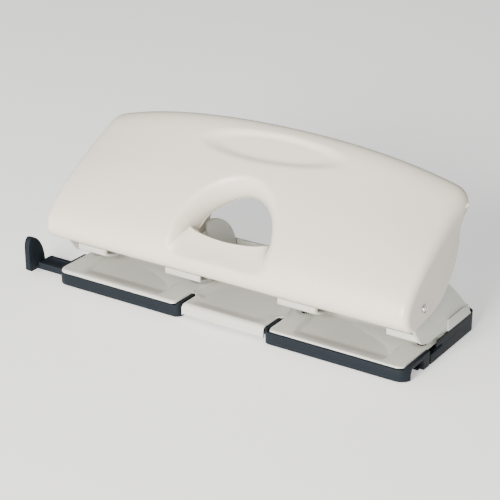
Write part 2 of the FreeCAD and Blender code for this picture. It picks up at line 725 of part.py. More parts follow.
# ---- guide bar ----
def make_guide_bar():
    start = -(d.half_length + d.stop_reach)
    rows = (d.bar_front, d.bar_rear)
    bar = block("guide_bar_strip", (start - d.stop_sheet / 2, d.bar_tail), rows, (d.bar_under, d.bar_top))
    middle = (d.bar_front + d.bar_rear) / 2 - (d.stop_width - d.bar_width) / 2
    half = d.stop_width / 2
    limits = (start - d.stop_sheet, start)
    heights = (d.bar_under, d.stop_height - half)
    plate = block("guide_bar_stop", limits, (middle - half, middle + half), heights)
    top = cross_rod("guide_bar_round", half, limits, middle, d.stop_height - half)
    node("guide_bar", fuse("guide_bar", bar, plate, top))
    leaf_middle = (d.bar_front + d.bar_rear) / 2
    end = -(d.half_length - 2 * d.rim_wall)
    leaf_rows = (leaf_middle - d.ledge_reach, leaf_middle + d.ledge_reach)
    leaf_heights = (d.groove_top - d.leaf_sheet, d.groove_top)
    leaf = block("guide_detent_spring", (end, end + d.leaf_length), leaf_rows, leaf_heights)
    node("guide_detent_spring", leaf)


# ---- pivots ----
def make_pivot(name, side):
    label = "pivot_pin_" + name
    shank_reach = span(side, d.cheek_inner - d.rivet_rise, d.cover_half)
    shank = cross_rod(label + "_shank", d.pivot_radius, shank_reach, d.pivot_row, d.pivot_height)
    head = cross_rod(label + "_head", d.rivet_head, span(side, d.cover_half, d.cover_half + d.rivet_rise),
                     d.pivot_row, d.pivot_height)
    node(label, fuse(label, shank, head))


def make_washers():
    rings = []
    for name, side in SIDES:
        limits = span(side, d.cheek_outer + d.washer_gap, d.cheek_outer + d.washer_gap + d.washer_sheet)
        title = "pivot_washer_" + name
        bore = d.pivot_radius + d.pivot_clearance
        disc = cross_rod(title + "_disc", bore + d.washer_wall, limits, d.pivot_row, d.pivot_height)
        hole = cross_rod(title + "_hole", bore, limits, d.pivot_row, d.pivot_height)
        rings.append(cut(title, disc, hole))
    node("pivot_washers", fuse("pivot_washers", *rings))


# ---- cover ----
def crown_at(x):
    """Height of the crown at a place along the cover: a long flat arch."""
    share = x / d.cover_half.number
    return d.crown_height.number - d.crown_drop.number * share * share


def front_line(x):
    """The cover's front in section, from its lower edge over the nose to the crown."""
    nose, level = d.nose.number, d.nose_height.number
    rise = crown_at(x) - level
    reach = d.crown_setback.number
    lower = Vector(x, nose + d.lip_tuck.number, level - d.lip_drop.number)
    chin = Vector(x, nose + d.lip_tuck.number / 6, level - d.lip_drop.number / 2)
    points = [lower, chin, Vector(x, nose, level)]
    for along, up in ((0.045, 0.14), (0.115, 0.275), (0.30, 0.48), (0.60, 0.735), (0.87, 0.94)):
        points.append(Vector(x, nose + along * reach, level + up * rise))
    points.append(Vector(x, nose + reach, level + rise))
    return points


def inset(points, wall):
    """The same line moved in by the wall, square to itself."""
    moved = []
    for i, point in enumerate(points):
        along = points[min(i + 1, len(points) - 1)] - points[max(i - 1, 0)]
        along.normalize()
        moved.append(point + Vector(0, along.z, -along.y) * wall)
    return moved


def cover_outline(x):
    """A closed section of the cover's outside."""
    points = front_line(x)
    curve = Part.BSplineCurve()
    curve.interpolate(points)
    rear, crown = d.cover_rear.number, crown_at(x)
    wall, drop = d.cover_wall.number, d.cover_tail.number
    pivot_z, nose = d.pivot_height.number, d.nose.number
    back = [
        points[-1],
        Vector(x, rear, crown - drop / 2),
        Vector(x, rear, crown - 4 * drop),
        Vector(x, d.paper_stop.number + 4 * wall, pivot_z + wall / 2),
        Vector(x, d.hole_row.number, pivot_z - 3 * wall),
        points[0],
    ]
    edges = [curve.toShape()] + [Part.LineSegment(a, b).toShape() for a, b in zip(back, back[1:])]
    return Part.Wire(edges)


def hollow_outline(x):
    """A closed section of the space inside the cover, run out below and behind it."""
    wall = d.cover_wall.number
    points = inset(front_line(x), wall)
    curve = Part.BSplineCurve()
    curve.interpolate(points)
    beyond = d.rear.number
    back = [
        points[-1],
        Vector(x, beyond, crown_at(x) - wall - d.cover_tail.number / 2),
        Vector(x, beyond, 0),
        Vector(x, points[0].y, 0),
        points[0],
    ]
    edges = [curve.toShape()] + [Part.LineSegment(a, b).toShape() for a, b in zip(back, back[1:])]
    return Part.Wire(edges)


def loft(sections, half):
    stations = [half * share for share in (-1.0, -0.5, 0.0, 0.5, 1.0)]
    return Part.makeLoft([sections(x) for x in stations], True, False)


def make_cover():
    half = d.cover_half.number
    outside = loft(cover_outline, half)
    hollow = loft(hollow_outline, d.cover_inner.number)
    inside = doc.addObject("Part::Feature", "cover_inside")
    inside.Shape = hollow

    sill = d.nose_height.number + d.window_rise.number
    height, reach = d.window_height.number, d.window_half.number
    front, depth = d.nose.number - 1, d.crown_setback.number
    oval = Part.Ellipse(Vector(0, front, sill), reach, height)
    rim = oval.toShape()
    rim.rotate(Vector(0, front, sill), Vector(1, 0, 0), 90)
    window = Part.Face(Part.Wire(rim)).extrude(Vector(0, depth, 0))
    keep_above = Part.makeBox(2 * reach, depth, height + 1, Vector(-reach, front, sill))
    window = window.common(keep_above)
    shell = outside.cut(hollow).cut(window)
    for name, side in SIDES:
        start = Vector(side * (d.cover_inner.number - 1), d.pivot_row.number, d.pivot_height.number)
        drill = Part.makeCylinder(d.pivot_radius.number, d.cover_wall.number + 2, start, Vector(side, 0, 0))
        shell = shell.cut(drill)
    cover = doc.addObject("Part::Feature", "lever_cover")
    cover.Shape = shell
    node("lever_cover", cover)
    return inside


def make_finger(number, side, away, inside):
    name = "press_finger_%d" % number
    foot = d.pivot_height + d.finger_gap
    corners = [
        (d.hole_row - d.finger_lead, foot),
        (d.hole_row + d.finger_tail, foot),
        (d.crown_row - d.cover_tail, d.nose_height + d.window_rise + d.window_height),
        (d.crown_row - d.cover_tail, d.crown_height),
        (d.paper_stop, d.crown_height),
        (d.hole_row - d.finger_lead, d.nose_height + d.window_rise),
    ]
    blank = body(name + "_blank")
    start = side * away - d.finger_width / 2
    pad(blank, outline(blank, "YZ_Plane", corners, start), d.finger_width)
    node(name, common(name, blank, inside))


make_base_plate()
for head in HEADS:
    make_head(*head)
for each_name, each_side in SIDES:
    make_cheek(each_name, each_side)
    make_front_rail(each_name, each_side)
    make_chip_tray(each_name, each_side)
    make_pivot(each_name, each_side)
make_back_rail()
make_rivets("bracket_rivets", bracket_rivets(), d.deck_height + d.jaw_sheet)
make_rivets("frame_rivets", frame_rivets(), d.deck_height + d.wall_sheet)
make_runners()
make_feet()
make_guide_bar()
make_washers()
cover_inside = make_cover()
for head_number, head_side, head_away, head_end in HEADS:
    make_finger(head_number, head_side, head_away, cover_inside)
doc.recompute()

faults = []
for item in doc.Objects:
    if {"Invalid", "Error"} & set(item.State):
        faults.append("%s: %s" % (item.Name, item.State))
for label, item in NODES.items():
    if item.Shape.isNull() or not item.Shape.isValid() or not item.Shape.Solids:
        faults.append("%s: no valid solid" % label)
if faults:
    raise RuntimeError("\n".join(faults))

os.makedirs("parts", exist_ok=True)
for label, item in NODES.items():
    item.Shape.exportStep("parts/%s.step" % label)
print("%d nodes" % len(NODES))
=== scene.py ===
import json
import math
import bpy
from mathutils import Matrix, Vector


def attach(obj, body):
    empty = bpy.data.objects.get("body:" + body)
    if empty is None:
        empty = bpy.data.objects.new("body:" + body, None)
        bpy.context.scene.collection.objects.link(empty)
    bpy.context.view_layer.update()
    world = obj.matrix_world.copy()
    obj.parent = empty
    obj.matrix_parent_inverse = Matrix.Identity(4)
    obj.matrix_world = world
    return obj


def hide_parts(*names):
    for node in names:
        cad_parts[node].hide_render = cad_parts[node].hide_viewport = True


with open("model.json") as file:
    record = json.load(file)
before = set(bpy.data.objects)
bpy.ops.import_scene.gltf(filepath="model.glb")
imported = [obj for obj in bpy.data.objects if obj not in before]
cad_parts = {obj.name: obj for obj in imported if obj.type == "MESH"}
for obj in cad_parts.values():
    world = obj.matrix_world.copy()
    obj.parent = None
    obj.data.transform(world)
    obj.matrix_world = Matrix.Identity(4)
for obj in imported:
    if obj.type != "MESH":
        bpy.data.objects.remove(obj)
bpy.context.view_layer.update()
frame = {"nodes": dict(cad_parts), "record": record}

cadNodes = frame["nodes"]
mm = 0.001     # the pieces' own values are in millimetres
print("frame loaded:", len(cadNodes), "CAD nodes")


def clearSelection():
    if bpy.context.mode != "OBJECT":
        bpy.ops.object.mode_set(mode="OBJECT")
    bpy.ops.object.select_all(action="DESELECT")


def makeActive(piece):
    clearSelection()
    piece.select_set(True)
    bpy.context.view_layer.objects.active = piece


def takeNew(name):
    piece = bpy.context.active_object
    piece.name = name
    piece.data.name = name
    return piece


def applyModifier(piece, kind, **settings):
    makeActive(piece)
    modifier = piece.modifiers.new(kind.lower(), kind)
    for key, value in settings.items():
        setattr(modifier, key, value)
    bpy.ops.object.modifier_apply(modifier=modifier.name)


def cleanMesh(piece):
    makeActive(piece)
    bpy.ops.object.mode_set(mode="EDIT")
    bpy.ops.mesh.select_all(action="SELECT")
    bpy.ops.mesh.remove_doubles(threshold=0.000002)
    bpy.ops.mesh.normals_make_consistent(inside=False)
    bpy.ops.object.mode_set(mode="OBJECT")


def softEdges(piece, width, segments=3, angle=28):
    applyModifier(piece, "BEVEL", width=width * mm, segments=segments, limit_method="ANGLE",
                  angle_limit=math.radians(angle), use_clamp_overlap=True, harden_normals=False)
    makeActive(piece)
    bpy.ops.object.shade_smooth_by_angle(angle=math.radians(40))


def subtract(piece, *cutters):
    for cutter in cutters:
        applyModifier(piece, "BOOLEAN", operation="DIFFERENCE", solver="EXACT", object=cutter)
        bpy.data.objects.remove(cutter)


def unite(piece, *others):
    for other in others:
        applyModifier(piece, "BOOLEAN", operation="UNION", solver="EXACT", object=other)
        bpy.data.objects.remove(other)


def joinPieces(name, pieces):
    clearSelection()
    for piece in pieces:
        piece.select_set(True)
    bpy.context.view_layer.objects.active = pieces[0]
    bpy.ops.object.join()
    return takeNew(name)


def addBlock(name, x, y, z):
    clearSelection()
    middle = [(a + b) / 2 * mm for a, b in (x, y, z)]
    size = [abs(b - a) * mm for a, b in (x, y, z)]
    bpy.ops.mesh.primitive_cube_add(size=1, location=middle)
    piece = takeNew(name)
    piece.scale = size
    bpy.ops.object.transform_apply(location=True, rotation=True, scale=True)
    return piece


def addRod(name, radius, start, end, vertices=48):
    clearSelection()
    start, end = Vector(start) * mm, Vector(end) * mm
    along = end - start
    bpy.ops.mesh.primitive_cylinder_add(vertices=vertices, radius=radius * mm, depth=along.length,
                                        location=(start + end) / 2,
                                        rotation=along.to_track_quat("Z", "Y").to_euler())
    piece = takeNew(name)
    bpy.ops.object.transform_apply(location=True, rotation=True, scale=True)
    return piece


def placeOn(plane, a, b, c):
    order = {"XY": (a, b, c), "YZ": (c, a, b), "XZ": (a, c, b)}
    return Vector(order[plane]) * mm


def outlineSolid(name, corners, plane, start, end):
    # a filled outline, pushed from one level to another
    clearSelection()
    bpy.ops.mesh.primitive_circle_add(vertices=len(corners), radius=1, fill_type="NGON")
    piece = takeNew(name)
    for vertex, (a, b) in zip(piece.data.vertices, corners):
        vertex.co = placeOn(plane, a, b, start)
    bpy.ops.object.mode_set(mode="EDIT")
    bpy.ops.mesh.select_all(action="SELECT")
    bpy.ops.mesh.extrude_region_move(TRANSFORM_OT_translate={"value": placeOn(plane, 0, 0, end - start)})
    bpy.ops.mesh.select_all(action="SELECT")
    bpy.ops.mesh.normals_make_consistent(inside=False)
    bpy.ops.object.mode_set(mode="OBJECT")
    return piece


def roundCorners(corners, steps=5):
    # corners are (a, b, radius); each is swapped for a short arc
    result = []
    count = len(corners)
    for i, (a, b, radius) in enumerate(corners):
        here = Vector((a, b))
        if radius <= 0:
            result.append((a, b))
            continue
        back = (Vector(corners[i - 1][:2]) - here).normalized()
        ahead = (Vector(corners[(i + 1) % count][:2]) - here).normalized()
        half = math.acos(max(-1, min(1, back.dot(ahead)))) / 2
        reach = radius / math.tan(half)
        centre = here + (back + ahead).normalized() * (radius / math.sin(half))
        first, last = here + back * reach - centre, here + ahead * reach - centre
        turn = first.angle_signed(last)
        for k in range(steps + 1):
            angle = -turn * k / steps
            spun = Vector((first.x * math.cos(angle) - first.y * math.sin(angle),
                           first.x * math.sin(angle) + first.y * math.cos(angle)))
            result.append(tuple(centre + spun))
    return result


def sideX(side, x):
    return (side * x[0], side * x[1]) if side > 0 else (side * x[1], side * x[0])


def smoothStep(low, high, value):
    share = max(0.0, min(1.0, (value - low) / (high - low)))
    return share * share * (3 - 2 * share)


def fromTable(table, value):
    # straight lines between (place, value) pairs
    for (a, x), (b, y) in zip(table, table[1:]):
        if value <= b:
            return x + (y - x) * max(0.0, value - a) / (b - a)
    return table[-1][1]


def gridSolid(name, columns, rows, rule, thickness):
    # a grid laid out by rule(column share, row share), given a thickness below
    clearSelection()
    bpy.ops.mesh.primitive_grid_add(x_subdivisions=columns, y_subdivisions=rows, size=2)
    piece = takeNew(name)
    for vertex in piece.data.vertices:
        vertex.co = Vector(rule((vertex.co.x + 1) / 2, (vertex.co.y + 1) / 2)) * mm
    applyModifier(piece, "SOLIDIFY", thickness=thickness * mm, offset=-1, use_even_offset=False)
    return piece


# shader effects that several finishes share
def newGroup(name, inputs, outputs):
    group = bpy.data.node_groups.new(name, "ShaderNodeTree")
    for label, kind, value in inputs:
        socket = group.interface.new_socket(name=label, in_out="INPUT", socket_type=kind)
        socket.default_value = value
    for label, kind in outputs:
        group.interface.new_socket(name=label, in_out="OUTPUT", socket_type=kind)
    return group, group.nodes.new("NodeGroupInput"), group.nodes.new("NodeGroupOutput")


def addNoise(tree, coordinates, scale, detail):
    noise = tree.nodes.new("ShaderNodeTexNoise")
    noise.inputs["Detail"].default_value = detail
    tree.links.new(coordinates, noise.inputs["Vector"])
    if isinstance(scale, float):
        noise.inputs["Scale"].default_value = scale
    else:
        tree.links.new(scale, noise.inputs["Scale"])
    return noise.outputs["Fac"]


def addMath(tree, operation, first, second):
    node = tree.nodes.new("ShaderNodeMath")
    node.operation = operation
    for socket, value in zip(node.inputs, (first, second)):
        if isinstance(value, (int, float)):
            socket.default_value = value
        else:
            tree.links.new(value, socket)
    return node.outputs[0]


def buildMottle():
    # slow drift of tone over the surface
    group, start, end = newGroup(
        "slowMottle",
        [("Colour", "NodeSocketColor", (0.5, 0.5, 0.5, 1)), ("Scale", "NodeSocketFloat", 20.0),
         ("Amount", "NodeSocketFloat", 0.04)],
        [("Colour", "NodeSocketColor"), ("Mask", "NodeSocketFloat")])
    place = group.nodes.new("ShaderNodeTexCoord")
    cloud = addNoise(group, place.outputs["Object"], start.outputs["Scale"], 3.0)
    centred = addMath(group, "SUBTRACT", cloud, 0.5)
    scaled = addMath(group, "MULTIPLY", centred, start.outputs["Amount"])
    lift = addMath(group, "ADD", scaled, 1.0)
    blend = group.nodes.new("ShaderNodeMix")
    blend.data_type = "RGBA"
    blend.blend_type = "MULTIPLY"
    blend.inputs["Factor"].default_value = 1.0
    grey = group.nodes.new("ShaderNodeCombineColor")
    for channel in ("Red", "Green", "Blue"):
        group.links.new(lift, grey.inputs[channel])
    group.links.new(start.outputs["Colour"], blend.inputs["A"])
    group.links.new(grey.outputs["Color"], blend.inputs["B"])
    group.links.new(blend.outputs["Result"], end.inputs["Colour"])
    group.links.new(cloud, end.inputs["Mask"])
    return group


def buildPeel():
    # the fine unevenness of sprayed or moulded surfaces, as a height
    group, start, end = newGroup(
        "finePeel",
        [("Scale", "NodeSocketFloat", 900.0), ("Grit", "NodeSocketFloat", 3000.0)],
        [("Height", "NodeSocketFloat"), ("Mask", "NodeSocketFloat")])
    place = group.nodes.new("ShaderNodeTexCoord")
    broad = addNoise(group, place.outputs["Object"], start.outputs["Scale"], 2.0)
    fine = addNoise(group, place.outputs["Object"], start.outputs["Grit"], 1.0)
    height = addMath(group, "ADD", addMath(group, "MULTIPLY", broad, 0.7),
                     addMath(group, "MULTIPLY", fine, 0.3))
    group.links.new(height, end.inputs["Height"])
    group.links.new(fine, end.inputs["Mask"])
    return group


def buildBrushing():
    # scratches stretched along one axis
    group, start, end = newGroup(
        "brushedLines",
        [("Scale", "NodeSocketFloat", 400.0), ("Stretch", "NodeSocketVector", (1.0, 1.0, 0.05))],
        [("Height", "NodeSocketFloat"), ("Mask", "NodeSocketFloat")])
    place = group.nodes.new("ShaderNodeTexCoord")
    stretch = group.nodes.new("ShaderNodeVectorMath")
    stretch.operation = "MULTIPLY"
    group.links.new(place.outputs["Object"], stretch.inputs[0])
    group.links.new(start.outputs["Stretch"], stretch.inputs[1])
    lines = addNoise(group, stretch.outputs[0], start.outputs["Scale"], 4.0)
    group.links.new(lines, end.inputs["Height"])
    group.links.new(lines, end.inputs["Mask"])
    return group


mottleGroup = buildMottle()
peelGroup = buildPeel()
brushGroup = buildBrushing()


def placeGroup(tree, group, **values):
    node = tree.nodes.new("ShaderNodeGroup")
    node.node_tree = group
    for key, value in values.items():
        node.inputs[key].default_value = value
    return node


def newFinish(name, colour, roughness, metallic=0.0, coat=0.0, specular=0.5):
    material = bpy.data.materials.new(name)
    material.use_nodes = True
    tree = material.node_tree
    shader = tree.nodes["Principled BSDF"]
    shader.inputs["Metallic"].default_value = metallic
    shader.inputs["Roughness"].default_value = roughness
    shader.inputs["Coat Weight"].default_value = coat
    shader.inputs["Coat Roughness"].default_value = 0.25
    shader.inputs["Specular IOR Level"].default_value = specular
    material.diffuse_color = (*colour, 1)
    return material, tree, shader


def roughnessFrom(tree, shader, mask, low, high):
    spread = tree.nodes.new("ShaderNodeMapRange")
    spread.inputs["To Min"].default_value = low
    spread.inputs["To Max"].default_value = high
    tree.links.new(mask, spread.inputs["Value"])
    tree.links.new(spread.outputs["Result"], shader.inputs["Roughness"])


def bumpFrom(tree, shader, height, strength, distance):
    bump = tree.nodes.new("ShaderNodeBump")
    bump.inputs["Strength"].default_value = strength
    bump.inputs["Distance"].default_value = distance
    tree.links.new(height, bump.inputs["Height"])
    tree.links.new(bump.outputs["Normal"], shader.inputs["Normal"])


def buildSprayed(name, look):
    # painted or moulded finishes share this build
    material, tree, shader = newFinish(name, look["colour"], look["roughness"][0], 0.0, look["coat"],
                                       look["specular"])
    mottle = placeGroup(tree, mottleGroup, Colour=(*look["colour"], 1), Scale=look["driftScale"],
                        Amount=look["drift"])
    tree.links.new(mottle.outputs["Colour"], shader.inputs["Base Color"])
    peel = placeGroup(tree, peelGroup, Scale=look["peelScale"], Grit=look["gritScale"])
    roughnessFrom(tree, shader, peel.outputs["Mask"], *look["roughness"])
    bumpFrom(tree, shader, peel.outputs["Height"], look["bump"], look["bumpDepth"])
    return material


def buildMetal(name, look):
    material, tree, shader = newFinish(name, look["colour"], look["roughness"][0], 1.0)
    mottle = placeGroup(tree, mottleGroup, Colour=(*look["colour"], 1), Scale=300.0, Amount=look["drift"])
    tree.links.new(mottle.outputs["Colour"], shader.inputs["Base Color"])
    lines = placeGroup(tree, brushGroup, Scale=look["lineScale"], Stretch=look["stretch"])
    roughnessFrom(tree, shader, lines.outputs["Mask"], *look["roughness"])
    bumpFrom(tree, shader, lines.outputs["Height"], look["bump"], 0.00005)
    return material


coverLook = {"colour": (0.69, 0.635, 0.55), "roughness": (0.36, 0.46), "coat": 0.12, "specular": 0.45,
             "drift": 0.03, "driftScale": 18.0, "peelScale": 700.0, "gritScale": 2600.0,
             "bump": 0.05, "bumpDepth": 0.0002}
# base enamel: its own greyer paint, set darker still to the shaded tone it shows under the cover; that extra
# darkening is painted shade
baseLookWithPaintedShade = {"colour": (0.53, 0.535, 0.495), "roughness": (0.40, 0.52), "coat": 0.08, "specular": 0.45,
            "drift": 0.04, "driftScale": 25.0, "peelScale": 800.0, "gritScale": 2800.0,
            "bump": 0.06, "bumpDepth": 0.0002}
darkLook = {"colour": (0.0075, 0.0112, 0.0160), "roughness": (0.50, 0.64), "coat": 0.0, "specular": 0.14,
            "drift": 0.12, "driftScale": 60.0, "peelScale": 1500.0, "gritScale": 4000.0,
            "bump": 0.12, "bumpDepth": 0.0002}
rubberLook = {"colour": (0.045, 0.045, 0.05), "roughness": (0.75, 0.95), "coat": 0.0, "specular": 0.3,
              "drift": 0.15, "driftScale": 120.0, "peelScale": 1200.0, "gritScale": 3500.0,
              "bump": 0.25, "bumpDepth": 0.0003}
steelLook = {"colour": (0.60, 0.60, 0.61), "roughness": (0.18, 0.34), "drift": 0.06, "lineScale": 1500.0,
             "stretch": (1.0, 1.0, 0.04), "bump": 0.08}
zincLook = {"colour": (0.62, 0.64, 0.66), "roughness": (0.30, 0.50), "drift": 0.12, "lineScale": 700.0,
            "stretch": (1.0, 1.0, 1.0), "bump": 0.10}

finishes = {
    "cover": buildSprayed("coverEnamel", coverLook),
    "base": buildSprayed("baseEnamelPaintedShade", baseLookWithPaintedShade),
    "dark": buildSprayed("darkMoulding", darkLook),
    "rubber": buildSprayed("footRubber", rubberLook),
    "steel": buildMetal("brightSteel", steelLook),
    "zinc": buildMetal("zincPlate", zincLook),
}
print("finishes built:", len(finishes))


def finishPiece(piece, body, slotName, *nodes):
    piece.data.materials.clear()
    piece.data.materials.append(finishes[slotName])
    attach(piece, body)
    if nodes:
        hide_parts(*nodes)
    return piece


# handle cover: one sheet with rounded ends, a finger window and a palm recess
cover = {
    "halfLength": 131.0,
    "crown": 112.2,
    "crownFall": (0.00072, 0.000000015),   # fall of the crown by the square and the fourth power of x
    "level": 44.0,             # the nose; below it every section is the same
    "endCrown": 96.1,
    "wall": 1.8,
    "rowStep": 0.1,
    "lastRow": 13.0,           # where the rear turn ends and the cover is open
    "centreColumns": 50,
    "sideColumns": 40,
    "arcSteps": 8,
}
# section of the cover's end, as a chain of spline handles: lip, nose, front, crown, rear, lower edge
sectionHandles = [
    (-41.5, 32), (-46, 33.5), (-50.8, 38.5), (-52.6, 44.5), (-49.5, 52), (-43, 58.8), (-34, 66), (-22, 74.2),
    (-8, 82), (6, 89.6), (16, 95), (24, 97), (29.5, 95), (30.3, 88), (23.5, 79), (18.8, 70), (14.2, 61.5),
    (8.2, 54), (1.8, 47.6), (-4.6, 41.2), (-11.8, 37.6), (-20.5, 35), (-30, 33.4), (-38, 32.6),
]
# radius of the rounding between the sheet and the end face, by row
edgeRadii = [(0, 2.0), (1.5, 3.5), (3, 4.5), (6, 5.0), (8, 7.5), (10, 11.0), (12, 14.0), (13, 14.5), (14, 13.5),
             (15, 11.0), (16, 6.5), (16.6, 3.6), (17, 2.8), (18, 2.0), (24, 2.0)]
# the crown end of the rim is drawn in towards this point, between these rows
endHeart = {"place": (9.0, 76.0), "pull": 2.5, "from": (8.5, 10.5), "to": (16.5, 15.0)}
# palm recess on the crown, an oval with its middle and its reach as (x, row)
palm = {"middle": (4.0, 9.2), "reach": (51.0, 0.84), "lean": 0.003, "rows": (7.5, 11.0), "fade": (-0.06, 0.34),
        "depth": 2.2}
# finger window: the block of the grid that it replaces, then the oval where the sheet starts to turn in
window = {
    "span": 50.0,
    "rows": (2.6, 8.2),
    "middle": 4.9,
    "halfWidth": 38.0,
    "above": 2.9,
    "below": 1.95,
    "squareness": 2 / 5,
    "shrink": 0.04,
    "deepAbove": (0, 0.86, -0.5),      # the way the turned sheet runs, above and below
    "deepBelow": (0, 0.62, 0.78),
    "lead": (0.30, -0.08),
    "follow": (0.34, 0.16),
    "rings": (5, 18, 4),               # flat, turning and curling
}
# inner edge of the finger window: angle round it, then its place
windowEdge = [
    (-90, 0, -39.4, 57.0), (-65, 13, -39.0, 57.7), (-45, 22, -38.0, 58.8), (-25, 28, -36.2, 60.0),
    (-17, 29.0, -32.5, 57.8), (-8, 28.8, -28.0, 55.8), (5, 27.6, -25.0, 58.0), (20, 25, -21.5, 63.0),
    (35, 21.8, -17.3, 66.0),
    (50, 17, -12.9, 69.4), (65, 11, -9.2, 72.4), (80, 4, -7.0, 74.5), (90, 0, -6.7, 74.8),
]
# how far the sheet turns on behind that edge, outwards, back and down
windowTail = [
    (-90, 0, 3.0, -3.0), (-45, 0, 3.6, -4.0), (-25, 0, 4.0, -3.5), (-8, -0.3, 2.0, -1.5), (5, -0.2, 1.2, -1.2),
    (35, 0, 1.0, -0.6), (90, 0, 1.0, -0.6),
]


def crownAt(x):
    square, fourth = cover["crownFall"]
    return cover["crown"] - square * x ** 2 - fourth * x ** 4


def sectionPoint(t):
    count = len(sectionHandles)
    i = math.floor(t)
    u = t - i
    weights = ((1 - u) ** 3, 3 * u ** 3 - 6 * u ** 2 + 4, -3 * u ** 3 + 3 * u ** 2 + 3 * u + 1, u ** 3)
    total = Vector((0, 0))
    for k, weight in enumerate(weights):
        total += Vector(sectionHandles[(i - 1 + k) % count]) * weight / 6
    return total


def palmDent(x, t):
    across = (x - palm["middle"][0]) / palm["reach"][0]
    up = (t - palm["middle"][1] - palm["lean"] * x) / palm["reach"][1]
    share = 1 - math.sqrt(across * across + up * up)
    return palm["depth"] * smoothStep(*palm["fade"], share)


def plainPoint(x, t):
    y, z = sectionPoint(t)
    level = cover["level"]
    if z > level:
        z = level + (z - level) * (crownAt(x) - level) / (cover["endCrown"] - level)
    return Vector((x, y, z))


def outwardAt(x, t):
    along = plainPoint(x, t + 0.02) - plainPoint(x, t - 0.02)
    return Vector((0, -along.z, along.y)).normalized()


def coverPoint(x, t):
    point = plainPoint(x, t)
    if palm["rows"][0] < t < palm["rows"][1]:
        point -= outwardAt(x, t) * palmDent(x, t)
    return point


def roundStart(t):
    # where the rounding towards the end face begins, and its first angle
    radius = fromTable(edgeRadii, t)
    half = cover["halfLength"]
    outward = outwardAt(half - radius, t)
    slope = (plainPoint(half - radius, t).z - plainPoint(half - radius + 0.5, t).z) / 0.5 * outward.z
    first = max(0.0, math.atan(slope))
    return half - radius * (1 - math.sin(first)), first, radius


def foldAngle(angle):
    # the window is the same on both sides: degrees from -90 at the sill to 90 at the top
    degrees = math.degrees(angle)
    if abs(degrees) > 90:
        degrees = math.copysign(180, degrees) - degrees
    return degrees


def windowInner(angle):
    # a smooth curve through the rows of the table, which goes on past its ends as a mirror image
    mirrored = math.cos(angle) < 0
    degrees = foldAngle(angle)
    table = windowEdge
    i = max(k for k in range(len(table)) if table[k][0] <= degrees + 1e-6)
    i = min(i, len(table) - 2)
    low, high = table[i], table[i + 1]

    def entry(k):
        if k < 0:
            return (-180 - table[1][0], -table[1][1], *table[1][2:])
        if k >= len(table):
            return (180 - table[-2][0], -table[-2][1], *table[-2][2:])
        return table[k]

    before, after = entry(i - 1), entry(i + 2)
    u = (degrees - low[0]) / (high[0] - low[0])
    result = []
    for k in (1, 2, 3):
        slopeLow = (high[k] - before[k]) / (high[0] - before[0]) * (high[0] - low[0])
        slopeHigh = (after[k] - low[k]) / (after[0] - low[0]) * (high[0] - low[0])
        result.append(low[k] * (1 + 2 * u) * (1 - u) ** 2 + slopeLow * u * (1 - u) ** 2
                      + high[k] * u * u * (3 - 2 * u) + slopeHigh * u * u * (u - 1))
    return Vector((-result[0] if mirrored else result[0], result[1], result[2]))


def windowOuter(angle):
    # where the surface starts to turn in: an ellipse above, squarer below
    c, s = math.cos(angle), math.sin(angle)
    if s >= 0:
        return window["halfWidth"] * c, window["middle"] + window["above"] * s
    power = window["squareness"]
    return (window["halfWidth"] * math.copysign(abs(c) ** power, c),
            window["middle"] - window["below"] * abs(s) ** power)


def bezier(a, b, c, d, u):
    return a * (1 - u) ** 3 + b * 3 * u * (1 - u) ** 2 + c * 3 * u * u * (1 - u) + d * u ** 3


def columnX(j, edge):
    # place of a column of the long grid: fine over the window, coarser to both sides
    span, side, centre = window["span"], cover["sideColumns"], cover["centreColumns"]
    if j < side:
        return -edge + (edge - span) * j / side
    if j <= side + centre:
        return -span + 2 * span * (j - side) / centre
    return span + (edge - span) * (j - side - centre) / side


def addMainGrid(addPoint, faces):
    # the long grid between the two rounded ends, open where the window is
    step, side, centre = cover["rowStep"], cover["sideColumns"], cover["centreColumns"]
    mainRows = round(cover["lastRow"] / step)
    low, high = (round(t / step) for t in window["rows"])
    columns = 2 * side + centre
    grid = {}
    for i in range(mainRows + 1):
        t = i * step
        edge = roundStart(t)[0]
        for j in range(columns + 1):
            inside = low < i < high and side < j < side + centre
            if not inside:
                grid[i, j] = addPoint(coverPoint(columnX(j, edge), t))
    for i in range(mainRows):
        for j in range(columns):
            if not (low <= i < high and side <= j < side + centre):
                faces.append((grid[i, j], grid[i, j + 1], grid[i + 1, j + 1], grid[i + 1, j]))
    return grid


def windowSpoke(x, t):
    # how the sheet runs from one point of the window's block in to the window's edge
    middle = window["middle"]
    up = (t - middle) / ((window["rows"][1] - middle) if t > middle else (middle - window["rows"][0]))
    angle = math.atan2(up, x / window["span"])
    outerX, outerT = windowOuter(angle)
    start = coverPoint(outerX, outerT)
    inner = windowInner(angle)
    shrink = window["shrink"]
    inwards = coverPoint(outerX * (1 - shrink), outerT + (middle - outerT) * shrink) - start
    inwards.normalize()
    low = smoothStep(-0.1, -0.75, math.sin(angle))
    turn = smoothStep(-0.1, -0.7, math.sin(angle))
    deep = Vector(window["deepAbove"]).lerp(Vector(window["deepBelow"]), turn)
    reach = (inner - start).length
    lead = inwards * reach * (window["lead"][0] + window["lead"][1] * low)
    follow = deep * reach * (window["follow"][0] + window["follow"][1] * low)
    tail = Vector([fromTable([(row[0], row[k]) for row in windowTail], foldAngle(angle)) for k in (1, 2, 3)])
    tail.x *= 1 if math.cos(angle) > 0 else -1
    return {"x": x, "t": t, "outerX": outerX, "outerT": outerT, "start": start, "lead": start + lead,
            "follow": inner - follow, "inner": inner, "tail": tail}


